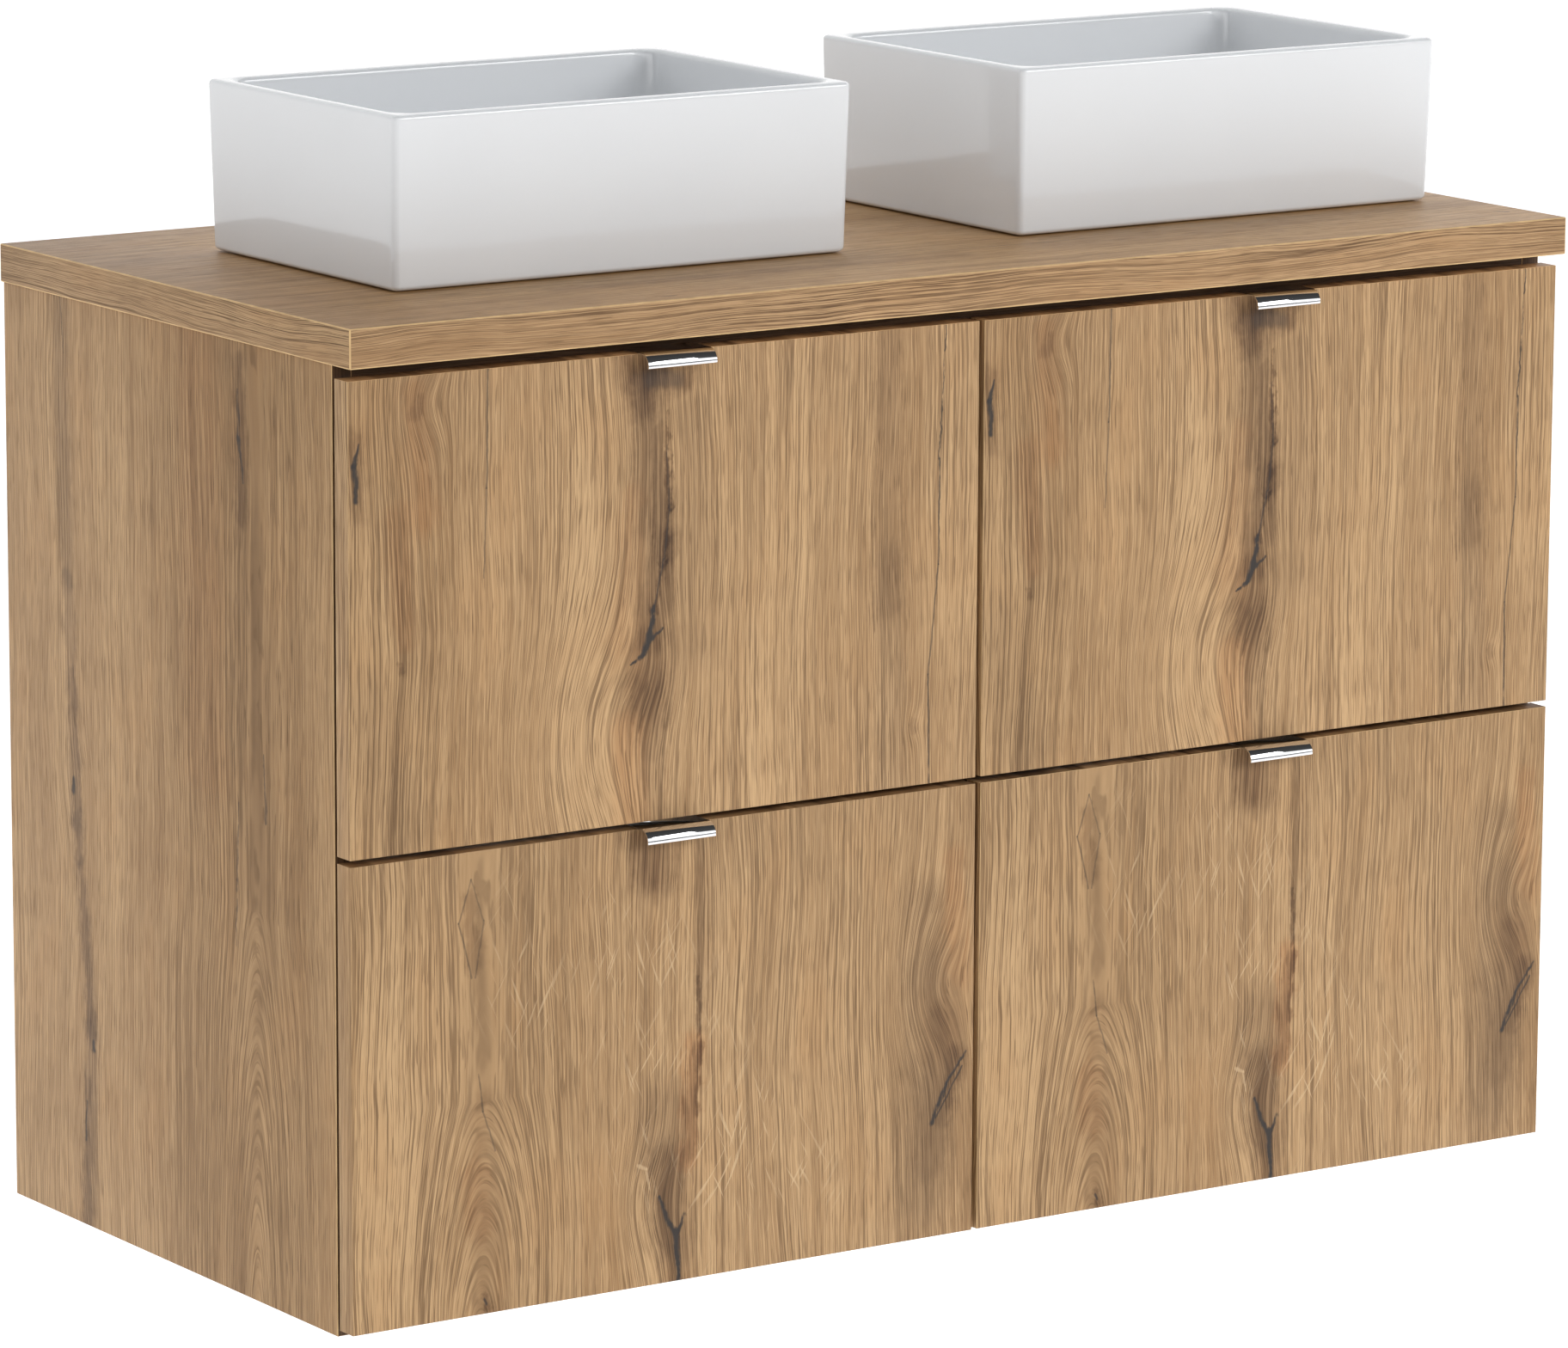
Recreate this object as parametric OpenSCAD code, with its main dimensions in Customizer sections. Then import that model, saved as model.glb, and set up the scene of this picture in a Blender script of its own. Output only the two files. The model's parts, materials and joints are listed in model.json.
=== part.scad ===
// Wall-hung double vanity: an oak-decor cabinet with four drawers, a countertop and two rectangular
// vessel basins with their wastes and bottle traps.
//
// Frame: millimetres, +X right, +Y towards the wall, +Z up. The wall is the plane y = 0, and the origin
// is the middle of the four wall screws. LEFT and RIGHT are as seen by someone standing in front.

/* [Countertop] */
// Width of the countertop
top_w = 1210; // [1110:10:1500]
// Depth of the countertop, from the wall to its front edge
top_d = 566; // [460:2:700]
// Thickness of the countertop
top_t = 32; // [18:1:50]
// Overhang of the countertop past each side panel
side_overhang = 3; // [0:0.5:20]
// Overhang of the countertop past the faces of the drawer fronts
front_overhang = 9; // [0:0.5:12]
// Radius of the hole in the countertop for each waste
top_hole_r = 30; // [23:0.5:33]

/* [Cabinet] */
// Height of the side panels
side_h = 782; // [640:2:960]
// Thickness of the cabinet boards
board_t = 18; // [14:1:25]
// Width of the two top rails
rail_w = 98; // [60:1:140]
// Height of the back rail under the countertop
back_rail_h = 80; // [50:1:110]
// Height of the back panel behind the lower drawers
back_panel_h = 400; // [80:5:420]
// Space behind the back boards for the wall plates
service_gap = 20; // [16:1:40]

/* [Drawer fronts] */
// Thickness of the drawer fronts
front_t = 20; // [14:1:28]
// Space between the cabinet boards and the backs of the fronts, filled by the bumpers
bumper_gap = 4; // [3.5:0.1:8]
// Gap between the countertop and the upper fronts
gap_top = 10.5; // [4:0.5:20]
// Gap between the upper and the lower fronts
gap_rows = 5.5; // [3:0.5:12]
// Gap between the left and the right fronts
gap_centre = 5.4; // [2:0.1:8]
// Height of the side panels' lower edges below the fronts
bottom_reveal = 6; // [0:0.5:14]
// Radius of a bumper
bumper_r = 2.6; // [1.5:0.1:3]

/* [Drawer boxes] */
// Thickness of the drawer box boards
box_t = 15; // [10:1:19]
// Height of an upper drawer box
upper_box_h = 180; // [130:5:220]
// Height of a lower drawer box
lower_box_h = 220; // [130:5:260]
// Height of a drawer box's lower edge above its front's lower edge
box_lift = 24; // [20:1:40]
// Thickness of a drawer bottom
bottom_t = 8; // [4:0.5:10]
// Height of a drawer bottom's underside above the box's lower edge
bottom_inset = 10; // [6:1:20]
// Depth of the grooves that hold a drawer bottom
groove_d = 7; // [4:0.5:8]
// Radius of the cut-out that keeps an upper drawer clear of its trap
cutout_r = 75; // [60:1:95]
// Thickness of the wall around that cut-out
surround_t = 8; // [3:0.5:12]

/* [Runners] */
// Space between a drawer box and the cabinet on each side
runner_gap = 13; // [12.7:0.1:15]
// Height of a runner
runner_h = 45; // [40:1:52]
// Sheet thickness of a runner
runner_sheet = 1.5; // [1:0.1:1.6]
// Height of a runner's middle line above the box's lower edge
runner_lift = 70; // [50:1:90]

/* [Handles] */
// Length of a handle
handle_len = 65; // [40:1:300]
// How far a handle stands out in front of its drawer front
handle_reach = 17; // [14:0.5:30]
// Sheet thickness of a handle
handle_sheet = 1.5; // [1:0.1:2.4]
// Outer radius of a handle's curved lip
handle_curl_r = 10.5; // [6:0.5:13]
// Radius of the bead along a handle's lower edge
handle_bead_r = 1.3; // [1.2:0.1:1.8]
// Height of a handle's leg behind its drawer front
handle_leg_h = 18; // [12:1:30]
// Distance between a handle's two screws
handle_screw_pitch = 32; // [20:1:260]
// Shank radius of a handle screw
screw_r = 1.9; // [1.2:0.1:2.5]
// Length of a handle screw's shank
screw_len = 14; // [8:0.5:16]

/* [Basins] */
// Width of a basin at its rim
basin_w = 440; // [340:5:460]
// Depth of a basin at its rim
basin_d = 300; // [250:5:380]
// Height of a basin
basin_h = 142; // [100:1:180]
// Thickness of a basin's rim
basin_rim = 12; // [7:0.5:20]
// Thickness of a basin's floor
basin_floor = 14; // [8:0.5:22]
// Draft of a basin's short walls
basin_draft_x = 2; // [0:0.5:15]
// Draft of a basin's long walls
basin_draft_y = 5; // [0:0.5:15]
// Radius of a basin's outer corners
basin_corner_r = 6; // [3:0.5:30]
// Radius of a basin's inner corners
bowl_corner_r = 20; // [8:0.5:50]
// Distance from the countertop's left end to the left basin's rim
left_margin = 125; // [20:5:200]
// Distance from the countertop's right end to the right basin's rim
right_margin = 35; // [20:5:200]
// Distance from the countertop's front edge to the basins' rims
front_margin = 139; // [40:1:170]
// Thickness of the seal under a basin
seal_t = 1; // [0.5:0.1:3]

/* [Wastes and traps] */
// Radius of the waste hole in a basin
waste_hole_r = 23; // [21.5:0.5:26]
// Outer radius of a waste's threaded tail
tail_r = 20.9; // [18:0.1:20.9]
// Radius of the bore of a waste
tail_bore_r = 17; // [14:0.5:18]
// Radius of a waste's flange
flange_r = 32; // [28:0.5:40]
// Thickness of a waste's flange
flange_t = 2.5; // [1.5:0.5:5]
// Length of a waste's tail below the countertop
tail_drop = 45; // [38:1:60]
// Travel of a plug
plug_lift = 8; // [5:0.5:12]
// Radius of a plug's stem
plug_stem_r = 4; // [3:0.25:5]
// Running clearance between a plug's stem and its guide
plug_clearance = 0.05; // [0.02:0.01:0.1]
// Radius of a trap's bottle
bottle_r = 33; // [26:0.5:45]
// Height of a trap's bottle
bottle_h = 100; // [80:1:120]
// Outer radius of a trap's pipes
pipe_r = 16; // [14:0.5:20]
// Wall thickness of a trap's pipes
pipe_wall = 1.5; // [1:0.25:2]
// Height of the outlets below the countertop
outlet_drop = 150; // [130:1:190]

/* [Wall mounting] */
// Space between the hangers and the rear top rail
hanger_gap = 2; // [0.5:0.5:20]
// Radius of the wall screw holes
wall_hole_r = 3.5; // [2.5:0.25:5]
// Vertical distance between a wall plate's two holes
wall_hole_pitch = 40; // [30:1:44]
// Distance from a side panel's inner face to the wall screws
wall_hole_inset = 40; // [30:1:60]

/* [Hidden] */
$fn = 64;
LEFT = -1;
RIGHT = 1;
UPPER = 1;
LOWER = 0;
SIDES = [LEFT, RIGHT];
ROWS = [UPPER, LOWER];
OAK = "#bb976c";
OAK_TOP = "#a98c63";
GREY_BOARD = "#8d8a85";
STEEL = "silver";
CHROME = "gainsboro";
CERAMIC = "white";
RUBBER = "#303030";
past = 1;                 // how far a cut runs past the surface it opens

// Heights
bracket_h = 50;           // height of a hanger above the middle of the wall screws
under_z = bracket_h + hanger_gap + board_t;   // underside of the countertop
top_z = under_z + top_t;
base_z = under_z - side_h;
front_h = (side_h - gap_top - gap_rows - bottom_reveal) / 2;
function front_z(row) = base_z + bottom_reveal + row * (front_h + gap_rows);
function box_z(row) = front_z(row) + box_lift;
function box_h(row) = row == UPPER ? upper_box_h : lower_box_h;
function runner_z(row) = box_z(row) + runner_lift;
function floor_z(row) = box_z(row) + bottom_inset + bottom_t;

// Depths: the wall is y = 0 and the front faces -Y
face_y = front_overhang - top_d;
front_back_y = face_y + front_t;
board_y = front_back_y + bumper_gap;
back_rail_y = -service_gap - board_t;
runner_step = 50;         // runners come in lengths of whole steps
runner_end_gap = 5;       // least space between a runner and the back rails
runner_len = runner_step * floor((back_rail_y - runner_end_gap - board_y) / runner_step);
box_back_y = front_back_y + runner_len;

// Widths, measured from the middle outwards; the left half is the mirror image of the right
side_x = top_w / 2 - side_overhang;
bay_in = board_t / 2;
bay_out = side_x - board_t;
bay_mid = (bay_in + bay_out) / 2;
box_in = bay_in + runner_gap;
box_out = bay_out - runner_gap;
front_in = gap_centre / 2;

// Basins
foot_z = top_z + seal_t;
bowl_z = foot_z + basin_floor;
rim_z = foot_z + basin_h;
basin_y = front_margin - top_d + basin_d / 2;
function basin_x(side) =
    side * (top_w / 2 - basin_w / 2 - (side == LEFT ? left_margin : right_margin));
seal_inset = 12;          // from the basin's foot to the seal's edge

// Wastes and traps, from the countertop's underside down
washer_t = 4;
washer_r = top_hole_r + 6;
nut_t = 10;
nut_r = tail_r + 8;
thread_slack = 0.1;
tail_z = under_z - tail_drop;
plug_r = flange_r - 1;
plug_t = 6;
guide_h = 14;
guide_r = plug_stem_r + 3;
guide_z = bowl_z - 40;
rib_t = 2.5;
collar_r = tail_r + 5;
collar_h = 25;
collar_grip = 15;         // length of the tail inside the trap's collar
collar_z = tail_z + collar_grip - collar_h;
outlet_z = under_z - outlet_drop;
bottle_z = outlet_z - bottle_h / 2;
bottle_wall = 2.5;
cup_h = 20;
cup_r = bottle_r + 2;
stub_r = pipe_r + 3;
stub_len = 50;            // from the bottle's axis
stub_nut_r = stub_r + 4;
stub_nut_h = 18;
spigot_len = 15;          // length of the outlet tube inside the trap
spigot_slack = 0.2;
stub_end_y = basin_y + stub_len + stub_nut_h / 2;
wall_slack = 1;           // the outlet tubes end this far short of the wall

// Hangers
bracket_w = 16;
bracket_d = 68;
bracket_slack = 2;
plate_t = 3;
plate_w = 60;
plate_h = 70;
shelf_z = 30;
shelf_d = 12;
shelf_t = 3;
lip_h = 12;
arm_t = 4.5;
hook_w = 12;
hook_t = 5;
hook_slack = 0.5;

// Cam fasteners: round discs that lock a board's end to the side panels
cam_r = 7.5;
cam_d = 12;
cam_inset = 24;
cam_slot = 1.5;

// Screws
head_r = 3.8;
head_t = 1.5;
leg_screw_z = -handle_leg_h / 2;

// Runner sections: distances from the cabinet's face towards the drawer
rail_lip_x = 9.5;
middle_web_x = 5.6;
middle_in_x = 2.2;
middle_out_x = 10.6;
slide_lip_x = 7.4;
play = 0.3;               // between the flanges of neighbouring members

// A box from its lowest to its highest corner
module block(low, high) {
    translate(low) cube(high - low);
}

// Its children, drawn for the right half, on the given side
module on_side(side) {
    if (side == LEFT) mirror([1, 0, 0]) children();
    else children();
}

// A plate with four round corners, centred on the Z axis
module rounded_plate(w, d, r, h) {
    linear_extrude(height = h) {
        square([w - 2 * r, d], center = true);
        square([w, d - 2 * r], center = true);
        for (x = [r - w / 2, w / 2 - r], y = [r - d / 2, d / 2 - r]) translate([x, y]) circle(r = r);
    }
}

// A straight bar with the 2D section of its children, where the section's axes are Y and Z
module bar_along_x(length) {
    rotate([90, 0, 90]) linear_extrude(height = length, center = true) children();
}

// A straight bar along Y, where the section's axes are X and Z
module bar_along_y(low_y, high_y) {
    translate([0, high_y, 0]) rotate([90, 0, 0]) linear_extrude(height = high_y - low_y) children();
}

// ---- Cabinet ----

module side_panel(side) {
    color(OAK) on_side(side) block([bay_out, board_y, base_z], [side_x, 0, under_z]);
}

module side_panel_left() { side_panel(LEFT); }

module side_panel_right() { side_panel(RIGHT); }

module centre_divider() {
    color(OAK) block([-bay_in, board_y, base_z + board_t], [bay_in, back_rail_y, under_z - board_t]);
}

// Where the cam discs sit: the middle of each disc's open face, and the way that face points
bottom_cams = [for (side = SIDES, y = [board_y + 60, back_rail_y - 60])
    [side * (bay_out - cam_inset), y, base_z + board_t]];
rail_cams = [for (side = SIDES, y = [board_y + rail_w / 2, -service_gap - rail_w / 2])
    [side * (bay_out - cam_inset), y, under_z - board_t]];

module cam_pockets(places, up) {
    for (place = places) translate(place)
        translate([0, 0, up ? -cam_d : -past]) cylinder(r = cam_r, h = cam_d + past);
}

module bottom_panel() {
    color(OAK) difference() {
        block([-bay_out, board_y, base_z], [bay_out, back_rail_y, base_z + board_t]);
        cam_pockets(bottom_cams, true);
    }
}

module top_rail(low_y) {
    color(OAK) difference() {
        block([-bay_out, low_y, under_z - board_t], [bay_out, low_y + rail_w, under_z]);
        cam_pockets(rail_cams, false);
    }
}

module top_rail_front() { top_rail(board_y); }

module top_rail_rear() { top_rail(-service_gap - rail_w); }

// The upper rail leaves room for the hanging brackets at its ends
module back_rail_upper() {
    half = bay_out - bracket_w - bracket_slack;
    high_z = under_z - board_t;
    color(OAK) block([-half, back_rail_y, high_z - back_rail_h], [half, -service_gap, high_z]);
}

module back_panel_lower() {
    color(OAK) block([-bay_out, back_rail_y, base_z], [bay_out, -service_gap, base_z + back_panel_h]);
}

module cam_disc() {
    difference() {
        cylinder(r = cam_r, h = cam_d);
        for (angle = [0, 90]) translate([0, 0, cam_d]) rotate([0, 0, angle])
            cube([cam_r * 1.3, cam_slot, 2 * cam_slot], center = true);
    }
}

module cam_fasteners() {
    color(STEEL) {
        for (place = bottom_cams) translate(place - [0, 0, cam_d]) cam_disc();
        for (place = rail_cams) translate(place + [0, 0, cam_d]) mirror([0, 0, 1]) cam_disc();
    }
}

// Small rubber discs on the front edges of the side panels and the divider
module front_bumpers() {
    thick = bumper_gap - 0.2;
    color(RUBBER) for (side = SIDES, row = ROWS, x = [bay_in - bumper_r - 0.2, bay_out + board_t / 2],
                       z = [front_z(row) + 40, front_z(row) + front_h - 40])
        translate([side * x, board_y, z]) rotate([90, 0, 0]) cylinder(r = bumper_r, h = thick);
}

// ---- Hangers ----

// A housing on each side panel with an arm whose tip drops behind the wall plate's lip
module hanging_brackets() {
    tip_y = -plate_t - hook_slack;
    arm_z = shelf_z + shelf_t + lip_h + hook_slack;
    color(STEEL) for (side = SIDES) on_side(side) {
        block([bay_out - bracket_w, -service_gap - bracket_d, 0], [bay_out, -service_gap, bracket_h]);
        translate([bay_out - bracket_w, 0, 0]) {
            block([0, -service_gap, arm_z], [hook_w, tip_y, arm_z + arm_t]);
            block([0, tip_y - hook_t, shelf_z + shelf_t], [hook_w, tip_y, arm_z]);
        }
    }
}

module wall_plates() {
    outer_x = bay_out - 2;
    color(STEEL) for (side = SIDES) on_side(side) difference() {
        union() {
            block([outer_x - plate_w, -plate_t, -plate_h / 2], [outer_x, 0, shelf_z + shelf_t + lip_h]);
            block([outer_x - plate_w, -shelf_d, shelf_z], [outer_x, -plate_t, shelf_z + shelf_t]);
            block([outer_x - plate_w, -shelf_d, shelf_z],
                  [outer_x, shelf_t - shelf_d, shelf_z + shelf_t + lip_h]);
        }
        for (z = [-wall_hole_pitch / 2, wall_hole_pitch / 2])
            translate([bay_out - wall_hole_inset, past, z]) rotate([90, 0, 0])
                cylinder(r = wall_hole_r, h = plate_t + 2 * past);
    }
}

// ---- Countertop and basins ----

module countertop() {
    color(OAK_TOP) difference() {
        block([-top_w / 2, -top_d, under_z], [top_w / 2, 0, top_z]);
        for (side = SIDES) translate([basin_x(side), basin_y, under_z - past])
            cylinder(r = top_hole_r, h = top_t + 2 * past);
    }
}

// A drafted shell: the walls lean inwards on the way down
module basin(side) {
    skin = 0.01;          // thickness of the slices that the walls are stretched between
    bowl_w = basin_w - 2 * basin_rim;
    bowl_d = basin_d - 2 * basin_rim;
    bowl_draft = basin_draft_x + basin_draft_y;
    color(CERAMIC) translate([basin_x(side), basin_y, 0]) difference() {
        hull() {
            translate([0, 0, foot_z])
                rounded_plate(basin_w - 2 * basin_draft_x, basin_d - 2 * basin_draft_y,
                              basin_corner_r, skin, $fn = 32);
            translate([0, 0, rim_z - skin])
                rounded_plate(basin_w, basin_d, basin_corner_r, skin, $fn = 32);
        }
        hull() {
            translate([0, 0, bowl_z])
                rounded_plate(bowl_w - 2 * bowl_draft, bowl_d - 2 * bowl_draft, bowl_corner_r, skin, $fn = 32);
            translate([0, 0, rim_z + past]) rounded_plate(bowl_w, bowl_d, bowl_corner_r, skin, $fn = 32);
        }
        translate([0, 0, foot_z - past]) cylinder(r = waste_hole_r, h = basin_floor + 2 * past);
    }
}

module basin_left() { basin(LEFT); }

module basin_right() { basin(RIGHT); }

module basin_seals() {
    color(RUBBER) for (side = SIDES) translate([basin_x(side), basin_y, top_z]) difference() {
        rounded_plate(basin_w - 2 * (basin_draft_x + seal_inset), basin_d - 2 * (basin_draft_y + seal_inset),
                      basin_corner_r, seal_t);
        translate([0, 0, -past]) cylinder(r = top_hole_r, h = seal_t + 2 * past);
    }
}

// ---- Wastes, plugs and traps ----

// A flanged tube with a ribbed guide for the plug's stem
module waste(side) {
    color(CHROME) translate([basin_x(side), basin_y, 0]) {
        difference() {
            union() {
                translate([0, 0, bowl_z]) cylinder(r = flange_r, h = flange_t);
                translate([0, 0, tail_z]) cylinder(r = tail_r, h = bowl_z - tail_z);
            }
            translate([0, 0, tail_z - past]) cylinder(r = tail_bore_r, h = bowl_z + flange_t - tail_z + 2 * past);
        }
        translate([0, 0, guide_z]) difference() {
            union() {
                cylinder(r = guide_r, h = guide_h);
                for (angle = [0, 120, 240]) rotate([0, 0, angle]) translate([0, -rib_t / 2, 0])
                    cube([tail_bore_r + (tail_r - tail_bore_r) / 2, rib_t, guide_h]);
            }
            translate([0, 0, -past]) cylinder(r = plug_stem_r + plug_clearance, h = guide_h + 2 * past);
        }
    }
}

module waste_left() { waste(LEFT); }

module waste_right() { waste(RIGHT); }

module waste_washers() {
    color(RUBBER) for (side = SIDES) translate([basin_x(side), basin_y, under_z - washer_t]) difference() {
        cylinder(r = washer_r, h = washer_t);
        translate([0, 0, -past]) cylinder(r = tail_r + thread_slack, h = washer_t + 2 * past);
    }
}

module waste_nuts() {
    color(STEEL) for (side = SIDES) translate([basin_x(side), basin_y, under_z - washer_t - nut_t]) difference() {
        cylinder(r = nut_r, h = nut_t, $fn = 6);
        translate([0, 0, -past]) cylinder(r = tail_r + thread_slack, h = nut_t + 2 * past);
    }
}

// A domed cap on a stem; closed at rest, with the cap on the waste's flange
module plug(side) {
    cap_z = bowl_z + flange_t;
    dome = 2;
    color(CHROME) translate([basin_x(side), basin_y, 0]) {
        translate([0, 0, guide_z - 6]) cylinder(r = plug_stem_r, h = cap_z - guide_z + 6 + past);
        translate([0, 0, cap_z]) rotate_extrude() difference() {
            union() {
                square([plug_r, plug_t - dome]);
                square([plug_r - dome, plug_t]);
                translate([plug_r - dome, plug_t - dome]) circle(r = dome);
            }
            translate([-dome - past, -past]) square([dome + past, plug_t + 2 * past]);
        }
    }
}

module plug_left() { plug(LEFT); }

module plug_right() { plug(RIGHT); }

// A bottle trap: a collar on the waste's tail, a dip pipe, the bottle with its cup and a side outlet
module trap(side) {
    color(CHROME) translate([basin_x(side), basin_y, 0]) difference() {
        union() {
            translate([0, 0, collar_z]) cylinder(r = collar_r, h = collar_h);
            translate([0, 0, bottle_z]) cylinder(r = pipe_r, h = collar_z - bottle_z);
            translate([0, 0, bottle_z]) cylinder(r = bottle_r, h = bottle_h);
            translate([0, 0, bottle_z - cup_h]) cylinder(r = cup_r, h = cup_h);
            translate([0, 0, outlet_z]) rotate([-90, 0, 0]) {
                cylinder(r = stub_r, h = stub_len);
                translate([0, 0, stub_len - stub_nut_h / 2]) cylinder(r = stub_nut_r, h = stub_nut_h);
            }
        }
        translate([0, 0, tail_z]) cylinder(r = tail_r + thread_slack, h = collar_h);
        translate([0, 0, bottle_z]) cylinder(r = pipe_r - pipe_wall, h = tail_z - bottle_z + past);
        translate([0, 0, bottle_z - cup_h + bottle_wall])
            cylinder(r = bottle_r - bottle_wall, h = bottle_h + cup_h - 2 * bottle_wall);
        translate([0, 0, outlet_z]) rotate([-90, 0, 0])
            cylinder(r = pipe_r - pipe_wall / 2 + spigot_slack, h = stub_len + stub_nut_h);
    }
}

module trap_left() { trap(LEFT); }

module trap_right() { trap(RIGHT); }

// Each tube has a thinner spigot inside its trap and runs back to the wall
module outlet_tubes() {
    color(CHROME) for (side = SIDES) translate([basin_x(side), stub_end_y, outlet_z]) rotate([-90, 0, 0])
        difference() {
            union() {
                cylinder(r = pipe_r, h = -stub_end_y - wall_slack);
                translate([0, 0, -spigot_len]) cylinder(r = pipe_r - pipe_wall / 2, h = spigot_len + past);
            }
            translate([0, 0, -spigot_len - past])
                cylinder(r = pipe_r - pipe_wall, h = spigot_len - stub_end_y + 2 * past);
        }
}

// ---- Runners: telescopic, three members a side ----

// Its children, a runner section with X away from the board, beside both walls of a drawer's bay
module beside_box(side, row) {
    on_side(side) {
        bar_along_y(board_y, board_y + runner_len) translate([bay_in, runner_z(row)]) children();
        bar_along_y(board_y, board_y + runner_len) translate([bay_out, runner_z(row)])
            mirror([1, 0]) children();
    }
}

module rail_section() {
    difference() {
        translate([0, -runner_h / 2]) square([rail_lip_x, runner_h]);
        translate([runner_sheet, runner_sheet - runner_h / 2])
            square([rail_lip_x, runner_h - 2 * runner_sheet]);
    }
}

module middle_section() {
    half_h = runner_h / 2 - runner_sheet - play;
    translate([middle_web_x, -half_h]) square([runner_sheet, 2 * half_h]);
    for (z = [-half_h, half_h - runner_sheet])
        translate([middle_in_x, z]) square([middle_out_x - middle_in_x, runner_sheet]);
}

module slide_section() {
    half_h = runner_h / 2 - 2 * (runner_sheet + play);
    difference() {
        translate([slide_lip_x, -half_h]) square([runner_gap - slide_lip_x, 2 * half_h]);
        translate([slide_lip_x - past, runner_sheet - half_h])
            square([runner_gap - slide_lip_x - runner_sheet + past, 2 * (half_h - runner_sheet)]);
    }
}

module runner_rails() {
    color(STEEL) for (side = SIDES, row = ROWS) beside_box(side, row) rail_section();
}

module drawer_middles(side, row) {
    color(STEEL) beside_box(side, row) middle_section();
}

module drawer_slides(side, row) {
    color(STEEL) beside_box(side, row) slide_section();
}

// ---- Drawers ----

// Its children, placed at the two handle screws, with +Z pointing back out of the drawer front
module at_handle_screws(side, row) {
    for (offset = [-handle_screw_pitch / 2, handle_screw_pitch / 2])
        translate([side * (front_in + side_x) / 2 + offset, front_back_y,
                   front_z(row) + front_h + leg_screw_z])
            rotate([-90, 0, 0]) children();
}

module drawer_front(side, row) {
    color(OAK) difference() {
        on_side(side) block([front_in, face_y, front_z(row)], [side_x, front_back_y, front_z(row) + front_h]);
        at_handle_screws(side, row) translate([0, 0, -screw_len]) cylinder(r = screw_r, h = screw_len + past);
    }
}

// A folded strip: a leg behind the front, a flange over its top edge and a curved lip
module drawer_handle(side, row) {
    curl = [-front_t - handle_reach + handle_curl_r, handle_sheet - handle_curl_r];
    color(CHROME) difference() {
        translate([side * (front_in + side_x) / 2, front_back_y, front_z(row) + front_h])
            bar_along_x(handle_len) {
                translate([0, -handle_leg_h]) square([handle_sheet, handle_leg_h + handle_sheet]);
                translate([curl[0], 0]) square([handle_sheet - curl[0], handle_sheet]);
                translate(curl) intersection() {
                    difference() {
                        circle(r = handle_curl_r);
                        circle(r = handle_curl_r - handle_sheet);
                    }
                    translate([-handle_curl_r - past, 0])
                        square([handle_curl_r + past, handle_curl_r + past]);
                }
                translate(curl + [handle_bead_r - handle_curl_r, 0]) circle(r = handle_bead_r);
            }
        at_handle_screws(side, row) translate([0, 0, -past])
            cylinder(r = screw_r, h = handle_sheet + 2 * past);
    }
}

module drawer_screws(side, row) {
    color(STEEL) at_handle_screws(side, row) {
        translate([0, 0, -screw_len]) cylinder(r = screw_r, h = screw_len + handle_sheet);
        translate([0, 0, handle_sheet]) cylinder(r = head_r, h = head_t);
    }
}

// The two side boards, grooved for the bottom
module drawer_sides(side, row) {
    low_z = box_z(row);
    color(GREY_BOARD) on_side(side) difference() {
        union() for (x = [box_in, box_out - box_t])
            block([x, front_back_y, low_z], [x + box_t, box_back_y, low_z + box_h(row)]);
        block([box_in + box_t - groove_d, front_back_y - past, low_z + bottom_inset],
              [box_out - box_t + groove_d, box_back_y + past, floor_z(row)]);
    }
}

// The room for the trap: round in front, open at the back, in the right half's frame
module cutout_outline(side, r) {
    translate([side * basin_x(side), basin_y]) circle(r = r);
    translate([side * basin_x(side) - r, basin_y]) square([2 * r, box_back_y - basin_y]);
}

module drawer_bottom(side, row) {
    low_z = box_z(row) + bottom_inset;
    color(GREY_BOARD) on_side(side) difference() {
        block([box_in + box_t - groove_d, front_back_y, low_z],
              [box_out - box_t + groove_d, box_back_y, low_z + bottom_t]);
        if (row == UPPER) translate([0, 0, low_z - past]) linear_extrude(height = bottom_t + 2 * past) {
            cutout_outline(side, cutout_r);
            translate([side * basin_x(side) - cutout_r, basin_y])
                square([2 * cutout_r, box_back_y - basin_y + past]);
        }
    }
}

// The back board stands on the bottom; an upper drawer's is split by the cut-out
module drawer_back(side, row) {
    x = side * basin_x(side);
    color(GREY_BOARD) on_side(side) difference() {
        block([box_in + box_t, box_back_y - box_t, floor_z(row)],
              [box_out - box_t, box_back_y, box_z(row) + box_h(row)]);
        if (row == UPPER) block([x - cutout_r - surround_t, box_back_y - box_t - past, floor_z(row) - past],
                                [x + cutout_r + surround_t, box_back_y + past, box_z(row) + box_h(row) + past]);
    }
}

module drawer_surround(side) {
    color(GREY_BOARD) on_side(side) translate([0, 0, floor_z(UPPER)])
        linear_extrude(height = box_z(UPPER) + box_h(UPPER) - floor_z(UPPER)) difference() {
            cutout_outline(side, cutout_r + surround_t);
            cutout_outline(side, cutout_r);
            translate([side * basin_x(side) - cutout_r, basin_y])
                square([2 * cutout_r, box_back_y - basin_y + past]);
        }
}

module upper_left_front() { drawer_front(LEFT, UPPER); }
module upper_left_sides() { drawer_sides(LEFT, UPPER); }
module upper_left_back() { drawer_back(LEFT, UPPER); }
module upper_left_bottom() { drawer_bottom(LEFT, UPPER); }
module upper_left_surround() { drawer_surround(LEFT); }
module upper_left_handle() { drawer_handle(LEFT, UPPER); }
module upper_left_screws() { drawer_screws(LEFT, UPPER); }
module upper_left_slides() { drawer_slides(LEFT, UPPER); }
module upper_left_middles() { drawer_middles(LEFT, UPPER); }

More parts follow.
